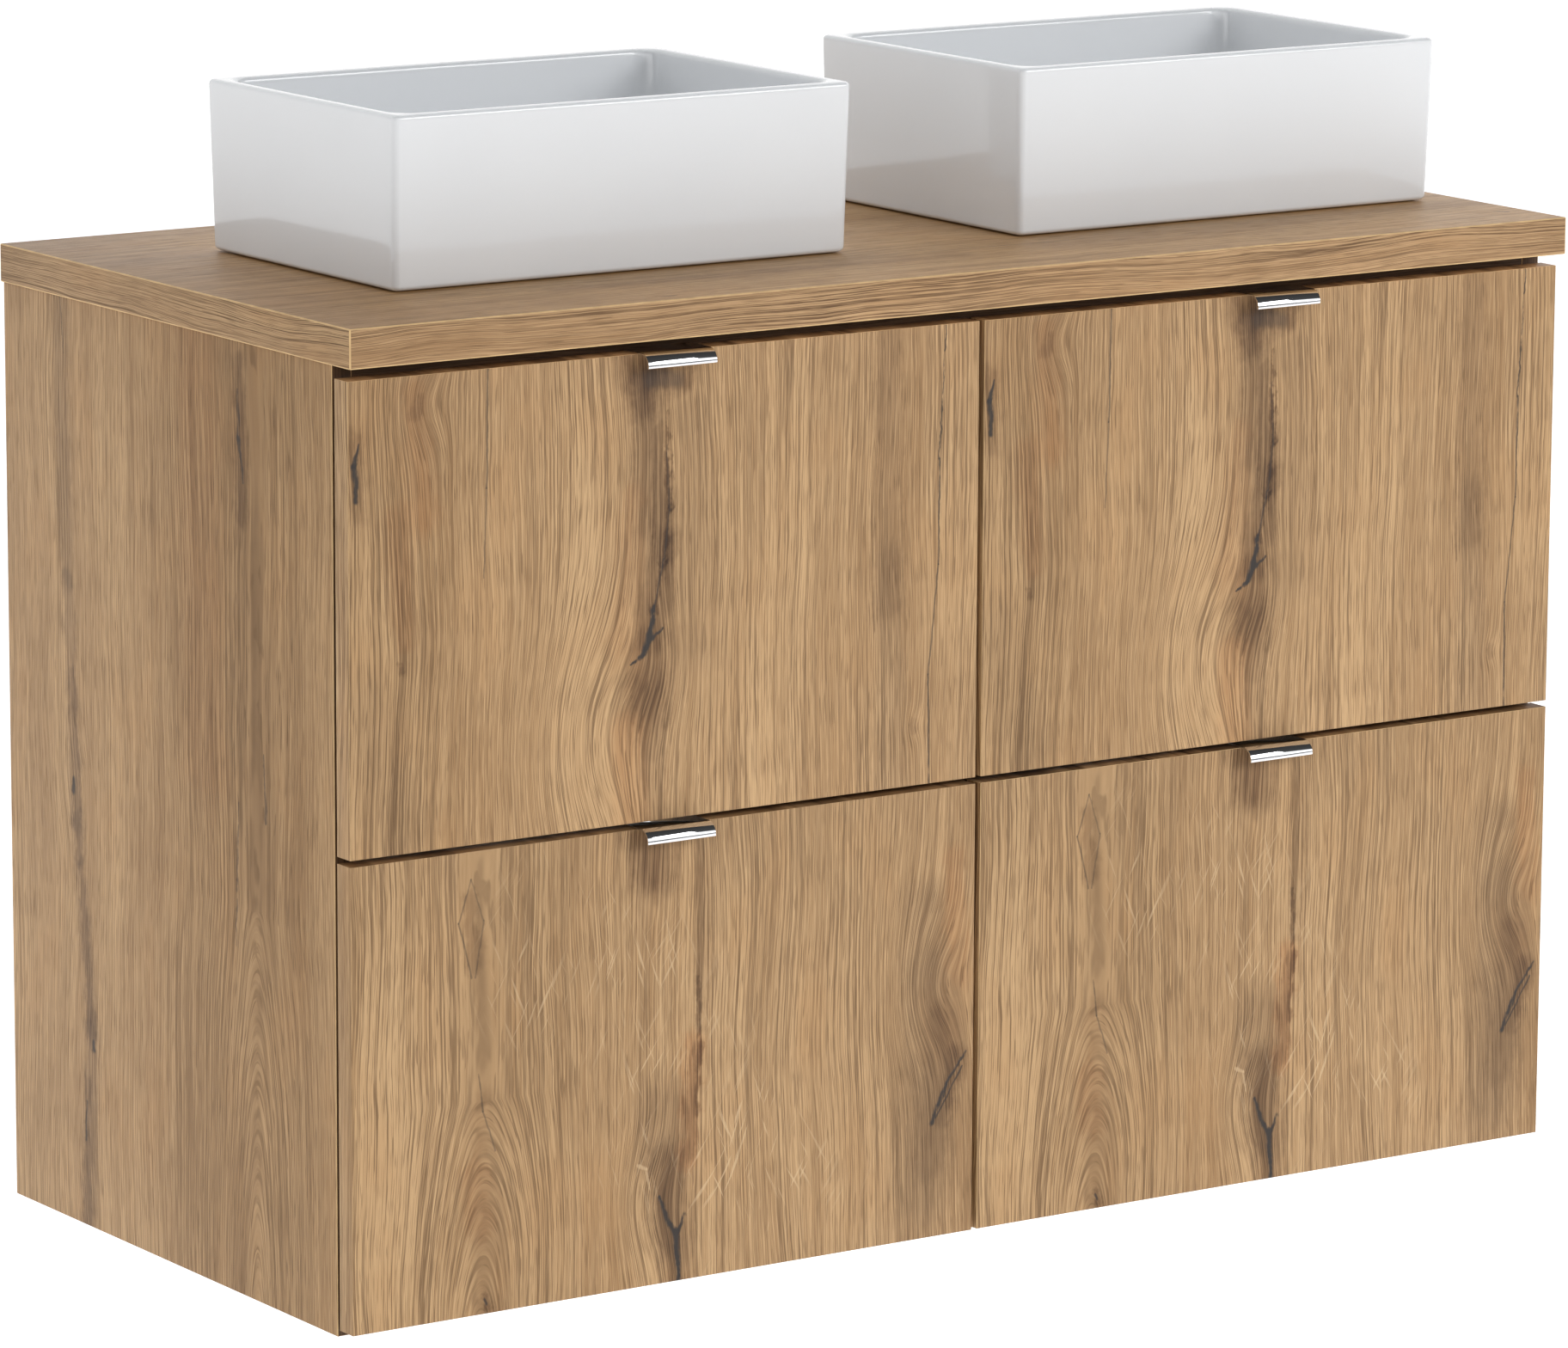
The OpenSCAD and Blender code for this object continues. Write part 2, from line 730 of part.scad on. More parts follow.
module upper_right_front() { drawer_front(RIGHT, UPPER); }
module upper_right_sides() { drawer_sides(RIGHT, UPPER); }
module upper_right_back() { drawer_back(RIGHT, UPPER); }
module upper_right_bottom() { drawer_bottom(RIGHT, UPPER); }
module upper_right_surround() { drawer_surround(RIGHT); }
module upper_right_handle() { drawer_handle(RIGHT, UPPER); }
module upper_right_screws() { drawer_screws(RIGHT, UPPER); }
module upper_right_slides() { drawer_slides(RIGHT, UPPER); }
module upper_right_middles() { drawer_middles(RIGHT, UPPER); }

module lower_left_front() { drawer_front(LEFT, LOWER); }
module lower_left_sides() { drawer_sides(LEFT, LOWER); }
module lower_left_back() { drawer_back(LEFT, LOWER); }
module lower_left_bottom() { drawer_bottom(LEFT, LOWER); }
module lower_left_handle() { drawer_handle(LEFT, LOWER); }
module lower_left_screws() { drawer_screws(LEFT, LOWER); }
module lower_left_slides() { drawer_slides(LEFT, LOWER); }
module lower_left_middles() { drawer_middles(LEFT, LOWER); }

module lower_right_front() { drawer_front(RIGHT, LOWER); }
module lower_right_sides() { drawer_sides(RIGHT, LOWER); }
module lower_right_back() { drawer_back(RIGHT, LOWER); }
module lower_right_bottom() { drawer_bottom(RIGHT, LOWER); }
module lower_right_handle() { drawer_handle(RIGHT, LOWER); }
module lower_right_screws() { drawer_screws(RIGHT, LOWER); }
module lower_right_slides() { drawer_slides(RIGHT, LOWER); }
module lower_right_middles() { drawer_middles(RIGHT, LOWER); }

side_panel_left();
side_panel_right();
centre_divider();
bottom_panel();
top_rail_front();
top_rail_rear();
back_rail_upper();
back_panel_lower();
cam_fasteners();
front_bumpers();
hanging_brackets();
wall_plates();
runner_rails();
countertop();
basin_left();
basin_right();
basin_seals();
waste_left();
waste_right();
waste_washers();
waste_nuts();
plug_left();
plug_right();
trap_left();
trap_right();
outlet_tubes();
upper_left_front();
upper_left_sides();
upper_left_back();
upper_left_bottom();
upper_left_surround();
upper_left_handle();
upper_left_screws();
upper_left_slides();
upper_left_middles();
upper_right_front();
upper_right_sides();
upper_right_back();
upper_right_bottom();
upper_right_surround();
upper_right_handle();
upper_right_screws();
upper_right_slides();
upper_right_middles();
lower_left_front();
lower_left_sides();
lower_left_back();
lower_left_bottom();
lower_left_handle();
lower_left_screws();
lower_left_slides();
lower_left_middles();
lower_right_front();
lower_right_sides();
lower_right_back();
lower_right_bottom();
lower_right_handle();
lower_right_screws();
lower_right_slides();
lower_right_middles();
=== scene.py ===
"""Looks of a wall-hung double vanity with two rectangular basins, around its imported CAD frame."""
import json
import math

import bmesh
import bpy
from mathutils import Matrix, Vector, noise

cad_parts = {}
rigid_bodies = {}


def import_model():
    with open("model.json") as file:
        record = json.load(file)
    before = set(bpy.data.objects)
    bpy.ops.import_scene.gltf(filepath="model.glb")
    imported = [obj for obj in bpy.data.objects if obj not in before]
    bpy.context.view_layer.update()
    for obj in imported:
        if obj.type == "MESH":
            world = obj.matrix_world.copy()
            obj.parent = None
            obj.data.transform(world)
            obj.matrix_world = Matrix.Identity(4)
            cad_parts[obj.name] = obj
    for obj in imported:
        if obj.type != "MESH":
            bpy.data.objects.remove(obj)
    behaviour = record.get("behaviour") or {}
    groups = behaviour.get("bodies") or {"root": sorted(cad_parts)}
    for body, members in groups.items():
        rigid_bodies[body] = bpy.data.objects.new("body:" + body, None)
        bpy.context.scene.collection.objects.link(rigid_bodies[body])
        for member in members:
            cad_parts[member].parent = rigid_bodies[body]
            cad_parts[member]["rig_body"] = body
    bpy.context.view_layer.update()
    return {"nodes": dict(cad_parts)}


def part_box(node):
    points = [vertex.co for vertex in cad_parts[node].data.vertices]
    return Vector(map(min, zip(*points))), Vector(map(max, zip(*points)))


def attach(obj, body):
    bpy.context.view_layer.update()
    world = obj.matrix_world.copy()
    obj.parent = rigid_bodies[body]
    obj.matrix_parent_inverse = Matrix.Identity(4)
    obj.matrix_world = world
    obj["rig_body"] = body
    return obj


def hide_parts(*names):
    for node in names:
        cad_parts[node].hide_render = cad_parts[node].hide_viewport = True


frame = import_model()

MM = 0.001
X = (1, 0, 0)
Y = (0, 1, 0)
Z = (0, 0, 1)
CORNERS = ("upper_left", "upper_right", "lower_left", "lower_right")
SIDES = ("left", "right")

scene = bpy.context.scene
scene.view_settings.view_transform = "Standard"
scene.view_settings.look = "None"


# ---- Camera, light and floor ----

def make_camera():
    """A long lens from the front left, a little above the countertop."""
    turn = math.radians(33.918)      # from straight ahead towards the right
    dip = math.radians(11.043)       # below the horizon
    roll = math.radians(-0.259)
    place = Vector((-3.7248, -5.8089, 1.0213))
    ahead = Vector((math.sin(turn) * math.cos(dip), math.cos(turn) * math.cos(dip), -math.sin(dip)))
    level = Vector((math.cos(turn), -math.sin(turn), 0))
    below = ahead.cross(level)
    right = level * math.cos(roll) + below * math.sin(roll)
    down = below * math.cos(roll) - level * math.sin(roll)
    data = bpy.data.cameras.new("camera")
    data.sensor_fit = "HORIZONTAL"
    data.sensor_width = 36
    data.lens = 182.997
    data.clip_end = 100
    camera = bpy.data.objects.new("camera", data)
    scene.collection.objects.link(camera)
    axes = Matrix((right, -down, -ahead)).transposed()
    camera.matrix_world = Matrix.Translation(place) @ axes.to_4x4()
    scene.camera = camera


def make_light(name, place, aim, size, watts):
    """A soft rectangular lamp that the camera doesn't see."""
    data = bpy.data.lights.new(name, "AREA")
    data.shape = "RECTANGLE"
    data.size = size[0]
    data.size_y = size[1]
    data.energy = watts
    lamp = bpy.data.objects.new(name, data)
    scene.collection.objects.link(lamp)
    lamp.location = place
    lamp.rotation_mode = "QUATERNION"
    lamp.rotation_quaternion = (Vector(aim) - Vector(place)).to_track_quat("-Z", "Y")
    lamp.visible_camera = False


# ---- Building materials from nodes ----

class Graph:
    """A material whose nodes are put in one after another."""

    def __init__(self, name, tree=None):
        self.material = None
        self.tree = tree
        if tree is None:
            self.material = bpy.data.materials.new(name)
            self.material.use_nodes = True
            self.tree = self.material.node_tree
        self.tree.nodes.clear()

    def put(self, socket, value):
        """Joins a node's output to the socket, or sets the socket to a value."""
        if isinstance(value, bpy.types.NodeSocket):
            self.tree.links.new(value, socket)
        elif value is not None:
            socket.default_value = value

    def node(self, kind, values=(), **settings):
        made = self.tree.nodes.new(kind)
        for key, setting in settings.items():
            setattr(made, key, setting)
        for index, value in enumerate(values):
            self.put(made.inputs[index], value)
        return made

    def math(self, operation, a, b=None, c=None, clamp=False):
        return self.node("ShaderNodeMath", (a, b, c), operation=operation, use_clamp=clamp).outputs[0]

    def add(self, a, b):
        return self.math("ADD", a, b)

    def less(self, a, b):
        return self.math("SUBTRACT", a, b)

    def times(self, a, b):
        return self.math("MULTIPLY", a, b)

    def vector(self, operation, a, b=None, scale=None):
        made = self.node("ShaderNodeVectorMath", (a, b), operation=operation)
        if scale is not None:
            self.put(made.inputs["Scale"], scale)
        number = operation in ("DOT_PRODUCT", "LENGTH", "DISTANCE")
        return made.outputs[1 if number else 0]

    def xyz(self, x, y, z=0.0):
        return self.node("ShaderNodeCombineXYZ", (x, y, z)).outputs[0]

    def noise(self, place, scale=1.0, detail=2.0, rough=0.5, coloured=False):
        made = self.node("ShaderNodeTexNoise")
        self.put(made.inputs["Vector"], place)
        made.inputs["Scale"].default_value = scale
        made.inputs["Detail"].default_value = detail
        made.inputs["Roughness"].default_value = rough
        return made.outputs[1 if coloured else 0]

    def smooth(self, value, low, high, to_low=0.0, to_high=1.0):
        """A soft step from to_low at low to to_high at high."""
        made = self.node("ShaderNodeMapRange", interpolation_type="SMOOTHSTEP")
        for index, number in enumerate((value, low, high, to_low, to_high)):
            self.put(made.inputs[index], number)
        return made.outputs[0]

    def mix(self, share, a, b, blend="MIX"):
        made = self.node("ShaderNodeMix", data_type="RGBA", blend_type=blend)
        self.put(made.inputs[0], share)
        self.put(made.inputs[6], a)
        self.put(made.inputs[7], b)
        return made.outputs[2]

    def finish(self, colour, rough, height=None, depth=0.2, **constants):
        """The surface itself; depth is the bump's height in millimetres."""
        shader = self.node("ShaderNodeBsdfPrincipled")
        self.put(shader.inputs["Base Color"], colour)
        self.put(shader.inputs["Roughness"], rough)
        for key, value in constants.items():
            shader.inputs[key.replace("_", " ")].default_value = value
        if height is not None:
            bump = self.node("ShaderNodeBump")
            bump.inputs["Strength"].default_value = 0.6
            bump.inputs["Distance"].default_value = depth * MM
            self.put(bump.inputs["Height"], height)
            self.put(shader.inputs["Normal"], bump.outputs[0])
        out = self.node("ShaderNodeOutputMaterial")
        self.put(out.inputs["Surface"], shader.outputs[0])
        return self.material


def rgb(red, green, blue):
    return (red, green, blue, 1.0)


# ---- The oak decor ----

BLACK = rgb(0.035, 0.028, 0.024)
BROWN = rgb(0.360, 0.290, 0.240)     # stains, and the painted shade and shadow, darken the grain under them, and don't hide it
RED = rgb(0.860, 0.660, 0.520)
GREY = rgb(0.560, 0.540, 0.540)
# SHADE is a dull darkening; where it darkens the side panel towards its front and the countertop's left end,
# it is painted shade
SHADE = rgb(0.680, 0.640, 0.580)
STAINS_AND_SHADE = (BROWN, RED, GREY, SHADE)
LIGHT = rgb(0.640, 0.455, 0.265)
OAK_LIGHT = rgb(0.560, 0.362, 0.184)
OAK_DARK = rgb(0.315, 0.180, 0.078)
OAK_WARM = rgb(0.430, 0.236, 0.096)
PORE = rgb(0.130, 0.068, 0.029)

GRAIN_WANDER = 28.0       # millimetres that the grain drifts sideways over a board
GRAIN_RIPPLE = 1.8        # millimetres of its short ripples
MEAN_LIGHT = 0.60         # share of the light oak colour where every layer is at its mean
BAND_CONTRAST = 0.85
BROAD_CONTRAST = 1.6
STREAK_CONTRAST = 2.1
FIBRE_CONTRAST = 2.3
CLOUD_CONTRAST = 0.8
SHAKE = 9.0               # millimetres by which the edge of a hard-edged mark wanders: cracks, light streaks and the smudges of painted shadow under the handles
STAIN_AND_SHADE_SHAKE = 2.4         # times as much for a soft mark, stain and painted shade alike
HAIRLINE_SHAKE = 0.35     # and as little for a hairline crack
HAIRLINE = 1.5            # widest half width of a hairline crack, in millimetres


def stroke(g, place, start, end, radii):
    """How much a point lies on a stroke from start to end. Its half width goes from radii[0] to radii[1]."""
    a = Vector((start[0], start[1], 0))
    along = Vector((end[0], end[1], 0)) - a
    rest = g.vector("SUBTRACT", place, a)
    share = g.math("DIVIDE", g.vector("DOT_PRODUCT", rest, along), along.length_squared, clamp=True)
    foot = g.vector("SCALE", along, scale=share)
    away = g.vector("DISTANCE", rest, foot)
    width = g.math("MULTIPLY_ADD", share, radii[1] - radii[0], radii[0])
    return g.smooth(g.math("DIVIDE", away, width), 0.25, 1.0, 1.0, 0.0)


def oak(name, across, along, start, seed, marks=(), swells=(), hearts=(), flecks=None, lines=1.0,
        fine=1.0, tone=rgb(1, 1, 1), rough=0.52):
    """Oak decor. across and along are the directions across and along the grain, start is the board's
    corner in metres, and every other length is in millimetres from there. fine packs the lines closer.
    marks are strokes of stain, crack, and painted shade and shadow, swells push the grain aside and hearts
    close it into arches."""
    g = Graph(name)
    place = g.node("ShaderNodeTexCoord").outputs["Object"]
    from_start = g.vector("SUBTRACT", place, Vector(start))
    u = g.vector("DOT_PRODUCT", from_start, Vector(across) * 1000)
    v = g.vector("DOT_PRODUCT", from_start, Vector(along) * 1000)
    flat = g.xyz(u, v)

    # the grain bends slowly, swells round knots and closes into pointed arches
    wander = g.less(g.noise(g.xyz(g.times(u, 0.008), g.times(v, 0.0035), seed), detail=1.0), 0.5)
    ripple = g.less(g.noise(g.xyz(g.times(u, 0.05), g.times(v, 0.02), seed + 3), detail=1.0), 0.5)
    grain = g.math("MULTIPLY_ADD", wander, GRAIN_WANDER, u)
    grain = g.math("MULTIPLY_ADD", ripple, GRAIN_RIPPLE, grain)
    for centre, reach, push in swells:
        du = g.times(g.less(u, centre[0]), 1 / reach[0])
        dv = g.times(g.less(v, centre[1]), 1 / reach[1])
        fall = g.math("EXPONENT", g.times(g.add(g.times(du, du), g.times(dv, dv)), -1.0))
        grain = g.math("MULTIPLY_ADD", fall, push, grain)
    depth = g.add(0.0, seed)
    calm = 1.0
    for middle, foot, slope, limit in hearts:
        du = g.less(grain, middle)
        dv = g.math("MINIMUM", g.math("MAXIMUM", g.times(g.less(foot, v), slope), 1.0), limit)
        grain = g.math("SQRT", g.add(g.times(du, du), g.times(dv, dv)))
        calm = g.smooth(g.math("DIVIDE", g.math("ABSOLUTE", du), grain), 0.0, 0.75, 0.22, 1.0)
        depth = g.add(depth, g.smooth(du, -25.0, 25.0))

    def layer(width, length, number, detail=2.0, rough=0.6):
        """Noise drawn out along the grain, with features of that width and length."""
        spot = g.xyz(g.times(grain, fine / width), g.times(v, 1 / length), g.add(depth, number))
        return g.noise(spot, detail=detail, rough=rough)

    broad = layer(62.0, 700.0, 7.0, rough=0.5)
    bands = layer(13.0, 620.0, 11.0, detail=3.0)
    streaks = layer(1.3, 240.0, 13.0)
    fibres = layer(0.55, 55.0, 17.0, rough=0.7)
    dashes = layer(0.80, 36.0, 19.0, detail=1.0)
    rings = layer(4.0, 700.0, 29.0, detail=1.0)
    clouds = g.noise(g.xyz(g.times(u, 0.018), g.times(v, 0.008), g.add(depth, 23.0)), detail=2.0)

    light = g.math("MULTIPLY_ADD", g.less(bands, 0.5), BAND_CONTRAST, MEAN_LIGHT)
    light = g.math("MULTIPLY_ADD", g.less(broad, 0.5), BROAD_CONTRAST, light)
    light = g.math("MULTIPLY_ADD", g.less(streaks, 0.5), STREAK_CONTRAST, light)
    light = g.math("MULTIPLY_ADD", g.less(fibres, 0.5), FIBRE_CONTRAST, light)
    light = g.math("MULTIPLY_ADD", g.less(light, MEAN_LIGHT), calm, MEAN_LIGHT)
    light = g.math("MULTIPLY_ADD", g.less(clouds, 0.5), CLOUD_CONTRAST, light, clamp=True)
    colour = g.mix(light, OAK_DARK, OAK_LIGHT)
    colour = g.mix(g.times(g.smooth(clouds, 0.45, 0.75), 0.4), colour, OAK_WARM)

    # long growth lines, and short open pores
    contour = g.math("ABSOLUTE", g.less(rings, 0.5))
    growth = g.times(g.smooth(contour, 0.012, 0.070, 1.0, 0.0), g.smooth(dashes, 0.30, 0.56, 0.3, 1.0))
    growth = g.times(growth, g.smooth(broad, 0.36, 0.62, 0.4 * lines, lines))
    pores = g.times(g.smooth(dashes, 0.54, 0.64), g.smooth(fibres, 0.40, 0.58, 0.3, 1.0))
    holes = g.math("MAXIMUM", g.times(growth, 0.75), g.times(pores, 0.70), clamp=True)
    holes = g.times(holes, g.math("MULTIPLY_ADD", calm, 0.5, 0.5))
    colour = g.mix(holes, colour, PORE)

    if flecks:
        patch = stroke(g, flat, flecks[0], flecks[1], flecks[2])
        clump_place = g.xyz(g.times(u, 0.012), g.times(v, 0.012), seed + 31)
        clumps = g.smooth(g.noise(clump_place, detail=1.0), 0.42, 0.6)
        for tilt in (0.55, -0.4):
            slanted = g.math("MULTIPLY_ADD", v, tilt, u)
            slanted = g.math("MULTIPLY_ADD", wander, 60.0, slanted)
            rays = g.noise(g.xyz(g.times(slanted, 0.34), g.times(v, 0.022), seed + 37 + tilt), detail=1.0)
            seen = g.times(g.times(g.smooth(rays, 0.63, 0.72), patch), clumps)
            colour = g.mix(g.times(seen, 0.6), colour, LIGHT)

    # knots, crack lines, the stained wood round them, and painted shade and shadow
    jitter_place = g.xyz(g.times(u, 0.09), g.times(v, 0.045), seed + 41)
    jitter = g.noise(jitter_place, detail=3.0, rough=0.65, coloured=True)
    shake = g.vector("SCALE", g.vector("SUBTRACT", jitter, Vector((0.5, 0.5, 0.5))), scale=SHAKE)
    rough_edge = g.vector("ADD", flat, shake)
    soft_edge = g.vector("ADD", flat, g.vector("SCALE", shake, scale=STAIN_AND_SHADE_SHAKE))
    thin_edge = g.vector("ADD", flat, g.vector("SCALE", shake, scale=HAIRLINE_SHAKE))
    frayed = g.times(g.smooth(streaks, 0.66, 0.36, 0.65, 1.0), g.smooth(bands, 0.66, 0.40, 0.72, 1.0))
    black_marks = 0.0
    for tint, mark_start, mark_end, radii, strength in marks:
        soft = tint in STAINS_AND_SHADE
        edge = soft_edge if soft else rough_edge
        if max(radii) < HAIRLINE:
            edge = thin_edge
        mask = g.times(stroke(g, edge, mark_start, mark_end, radii), strength)
        if soft:
            mask = g.times(mask, frayed)
        colour = g.mix(mask, colour, tint, blend="MULTIPLY" if soft else "MIX")
        if tint == BLACK:
            black_marks = g.math("MAXIMUM", mask, black_marks)
    colour = g.mix(1.0, colour, tone, blend="MULTIPLY")

    height = g.math("MULTIPLY_ADD", holes, -1.0, g.times(fibres, 0.35))
    height = g.math("MULTIPLY_ADD", black_marks, -1.2, height)
    gloss = g.math("MULTIPLY_ADD", fibres, 0.16, rough - 0.08)
    gloss = g.math("MULTIPLY_ADD", holes, 0.2, gloss)
    return g.finish(colour, gloss, height, 0.22, Specular_IOR_Level=0.3)


def size_mm(node):
    """A CAD node's size in millimetres."""
    low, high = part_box(node)
    return (high - low) / MM


FRONT_W, _, FRONT_H = size_mm("upper_left_front")


def on_front(rows):
    """Marks given in shares of a front's width and height."""
    return [(tint, (a * FRONT_W, b * FRONT_H), (c * FRONT_W, d * FRONT_H), radii, strength)
            for tint, a, b, c, d, radii, strength in rows]


UPPER_MARKS = on_front([
    (SHADE, 0.07, -0.1, 0.06, 1.10, (95, 80), 0.60),
    (RED, 0.10, 0.04, 0.115, 0.30, (20, 22), 0.45),
    (RED, 0.075, 0.30, 0.085, 0.55, (24, 14), 0.40),
    (RED, 0.44, 0.30, 0.43, 0.62, (16, 26), 0.35),
    (GREY, 0.03, 0.66, 0.07, 0.95, (30, 44), 0.45),
    (GREY, 0.535, 0.14, 0.545, 0.62, (24, 40), 0.40),
    # partly painted shadow of the handle, partly dark knot wood: the brown patch below the handle
    (BROWN, 0.448, -0.05, 0.455, 0.10, (46, 24), 0.92),
    (BROWN, 0.454, 0.06, 0.464, 0.36, (12, 22), 0.45),
    (GREY, 0.456, 0.04, 0.47, 0.52, (22, 34), 0.55),
    (BROWN, 0.480, 0.16, 0.490, 0.42, (8, 20), 0.60),
    (BROWN, 0.490, 0.40, 0.470, 0.60, (18, 24), 0.70),
    (BROWN, 0.468, 0.64, 0.462, 0.72, (34, 42), 0.75),
    (BROWN, 0.464, 0.70, 0.470, 0.84, (26, 18), 0.50),
    (BROWN, 0.465, 0.74, 0.475, 1.00, (24, 14), 0.50),
    (RED, 0.430, 0.80, 0.440, 1.00, (26, 26), 0.45),
    (BROWN, 0.850, -0.10, 0.850, 0.60, (20, 22), 0.45),
    (GREY, 0.850, 0.50, 0.860, 1.10, (24, 26), 0.55),
    (BROWN, 0.100, 0.085, 0.110, 0.05, (10, 6), 0.45),
    (BROWN, 0.076, 0.60, 0.080, 0.62, (4, 4), 0.55),
    (BROWN, 0.893, 0.865, 0.897, 0.875, (7, 5), 0.45),
    (BROWN, 0.012, 0.12, 0.012, 0.27, (14, 16), 0.55),
    # partly painted shadow of the handle, partly dark decor: the smudge right under it
    (BROWN, 0.458, 0.055, 0.515, 0.062, (20, 18), 0.85),
    (BLACK, 0.470, 0.056, 0.508, 0.062, (12, 11), 0.45),
    (BROWN, 0.495, 0.12, 0.497, 0.34, (3.0, 4.4), 0.85),
    (BROWN, 0.497, 0.34, 0.487, 0.45, (4.4, 4.4), 0.85),
    (BROWN, 0.487, 0.45, 0.471, 0.56, (4.4, 4.6), 0.90),
    (BLACK, 0.493, 0.20, 0.497, 0.34, (0.9, 1.2), 0.50),
    (BLACK, 0.497, 0.34, 0.489, 0.44, (1.3, 1.2), 0.55),
    (BLACK, 0.488, 0.44, 0.472, 0.55, (1.2, 1.4), 0.65),
    (BLACK, 0.472, 0.54, 0.466, 0.605, (1.8, 4.2), 1.00),
    (BLACK, 0.466, 0.605, 0.456, 0.640, (5.4, 4.0), 1.00),
    (BLACK, 0.456, 0.640, 0.436, 0.657, (3.4, 1.2), 0.95),
    (BLACK, 0.466, 0.615, 0.487, 0.590, (3.4, 1.6), 0.90),
    (BLACK, 0.016, 0.130, 0.009, 0.175, (2.0, 3.0), 0.95),
    (BLACK, 0.009, 0.175, 0.012, 0.250, (4.2, 3.6), 0.95),
    (BLACK, 0.2145, -0.05, 0.2110, 0.25, (1.4, 1.4), 0.60),
    (BLACK, 0.2110, 0.25, 0.2060, 0.44, (1.4, 0.9), 0.45),
    (BLACK, 0.944, -0.02, 0.936, 0.29, (1.3, 1.5), 0.80),
    (BLACK, 0.936, 0.29, 0.935, 0.52, (1.4, 1.2), 0.80),
    (BLACK, 0.935, 0.52, 0.9195, 0.76, (1.2, 1.2), 0.65),
    (BLACK, 0.9195, 0.76, 0.9215, 1.02, (1.2, 1.2), 0.80),
])
UPPER_SWELLS = [
    ((0.365 * FRONT_W, 0.80 * FRONT_H), (58, 88), 30),
    ((0.115 * FRONT_W, 0.06 * FRONT_H), (26, 34), 14),
    ((0.500 * FRONT_W, 0.66 * FRONT_H), (26, 46), -7),
    ((0.895 * FRONT_W, 0.87 * FRONT_H), (9, 12), 5),
]
LOWER_MARKS = on_front([
    (SHADE, 0.27, -0.1, 0.26, 1.10, (80, 90), 0.35),
    (GREY, 0.915, 0.25, 0.900, 1.00, (34, 40), 0.55),
    (BROWN, 0.560, 0.00, 0.550, 0.45, (18, 10), 0.40),
    (RED, 0.190, 0.70, 0.200, 0.80, (22, 22), 0.40),
    (RED, 0.965, 0.15, 0.975, 0.42, (16, 20), 0.45),
    (BROWN, 0.185, 0.10, 0.190, 0.24, (11, 14), 0.50),
    (BROWN, 0.205, 0.55, 0.215, 0.98, (22, 26), 0.35),
    # partly painted shadow of the handle, partly dark knot wood: the brown patch below the handle
    (BROWN, 0.462, -0.04, 0.474, 0.10, (44, 30), 0.95),
    (RED, 0.536, 0.48, 0.530, 0.74, (15, 15), 0.90),
    (BROWN, 0.538, 0.50, 0.532, 0.72, (10, 10), 0.65),
    (BROWN, 0.547, 0.34, 0.545, 0.64, (4, 5), 0.70),
    (GREY, 0.490, 0.62, 0.505, 0.90, (44, 34), 0.75),
    (BROWN, 0.490, 0.74, 0.513, 1.00, (28, 24), 0.70),
    (GREY, 0.940, 0.42, 0.925, 0.90, (44, 40), 0.60),
    (BROWN, 0.955, 0.52, 0.930, 0.84, (32, 22), 0.60),
    (BROWN, 0.975, 0.60, 0.945, 0.74, (16, 14), 0.65),
    (BROWN, 0.203, 0.965, 0.207, 0.985, (7, 7), 0.70),
    (LIGHT, 0.450, 0.730, 0.462, 0.745, (2.4, 2.0), 0.50),
    (LIGHT, 0.462, 0.745, 0.466, 0.790, (2.0, 1.6), 0.50),
    # partly painted shadow of the handle, partly dark decor: the smudge right under it
    (BLACK, 0.470, -0.02, 0.500, 0.02, (9, 8), 0.50),
    (BLACK, 0.483, 0.810, 0.500, 0.870, (2.8, 3.6), 0.95),
    (BLACK, 0.500, 0.870, 0.508, 0.895, (3.6, 4.4), 1.00),
    (BLACK, 0.524, 0.855, 0.510, 0.895, (2.8, 3.8), 0.95),
    (BLACK, 0.509, 0.890, 0.515, 1.020, (4.6, 3.4), 1.00),
    (BLACK, 0.987, 0.595, 0.955, 0.660, (2.2, 2.4), 0.90),
    (BLACK, 0.955, 0.660, 0.931, 0.745, (2.6, 3.6), 0.95),
    (BLACK, 0.982, 0.625, 0.938, 0.735, (1.3, 1.3), 0.80),
    (BLACK, 0.203, 0.970, 0.206, 0.978, (2.6, 2.6), 0.80),
    (BLACK, 0.196, 0.480, 0.203, 0.560, (1.2, 1.4), 0.55),
    (BLACK, 0.203, 0.560, 0.222, 0.650, (1.3, 1.1), 0.45),
    (BLACK, 0.185, 0.060, 0.166, 0.150, (1.2, 1.3), 0.45),
    (BLACK, 0.185, 0.060, 0.205, 0.150, (1.2, 1.2), 0.35),
    (BLACK, 0.166, 0.150, 0.186, 0.270, (1.3, 1.4), 0.50),
    (BLACK, 0.205, 0.150, 0.192, 0.270, (1.2, 1.2), 0.40),
])
LOWER_SWELLS = [
    ((0.930 * FRONT_W, 0.44 * FRONT_H), (34, 60), 24),
    ((0.450 * FRONT_W, 0.82 * FRONT_H), (32, 50), 18),
]
LOWER_HEARTS = [(0.205 * FRONT_W, 1.25 * FRONT_H, 0.17, 46.0)]
_, SIDE_W, SIDE_H = size_mm("side_panel_left")


def on_side(rows):
    """Marks given in shares of a side panel's depth, from its back edge, and height, from its top."""
    return [(tint, (a * SIDE_W, b * SIDE_H), (c * SIDE_W, d * SIDE_H), radii, strength)
            for tint, a, b, c, d, radii, strength in rows]


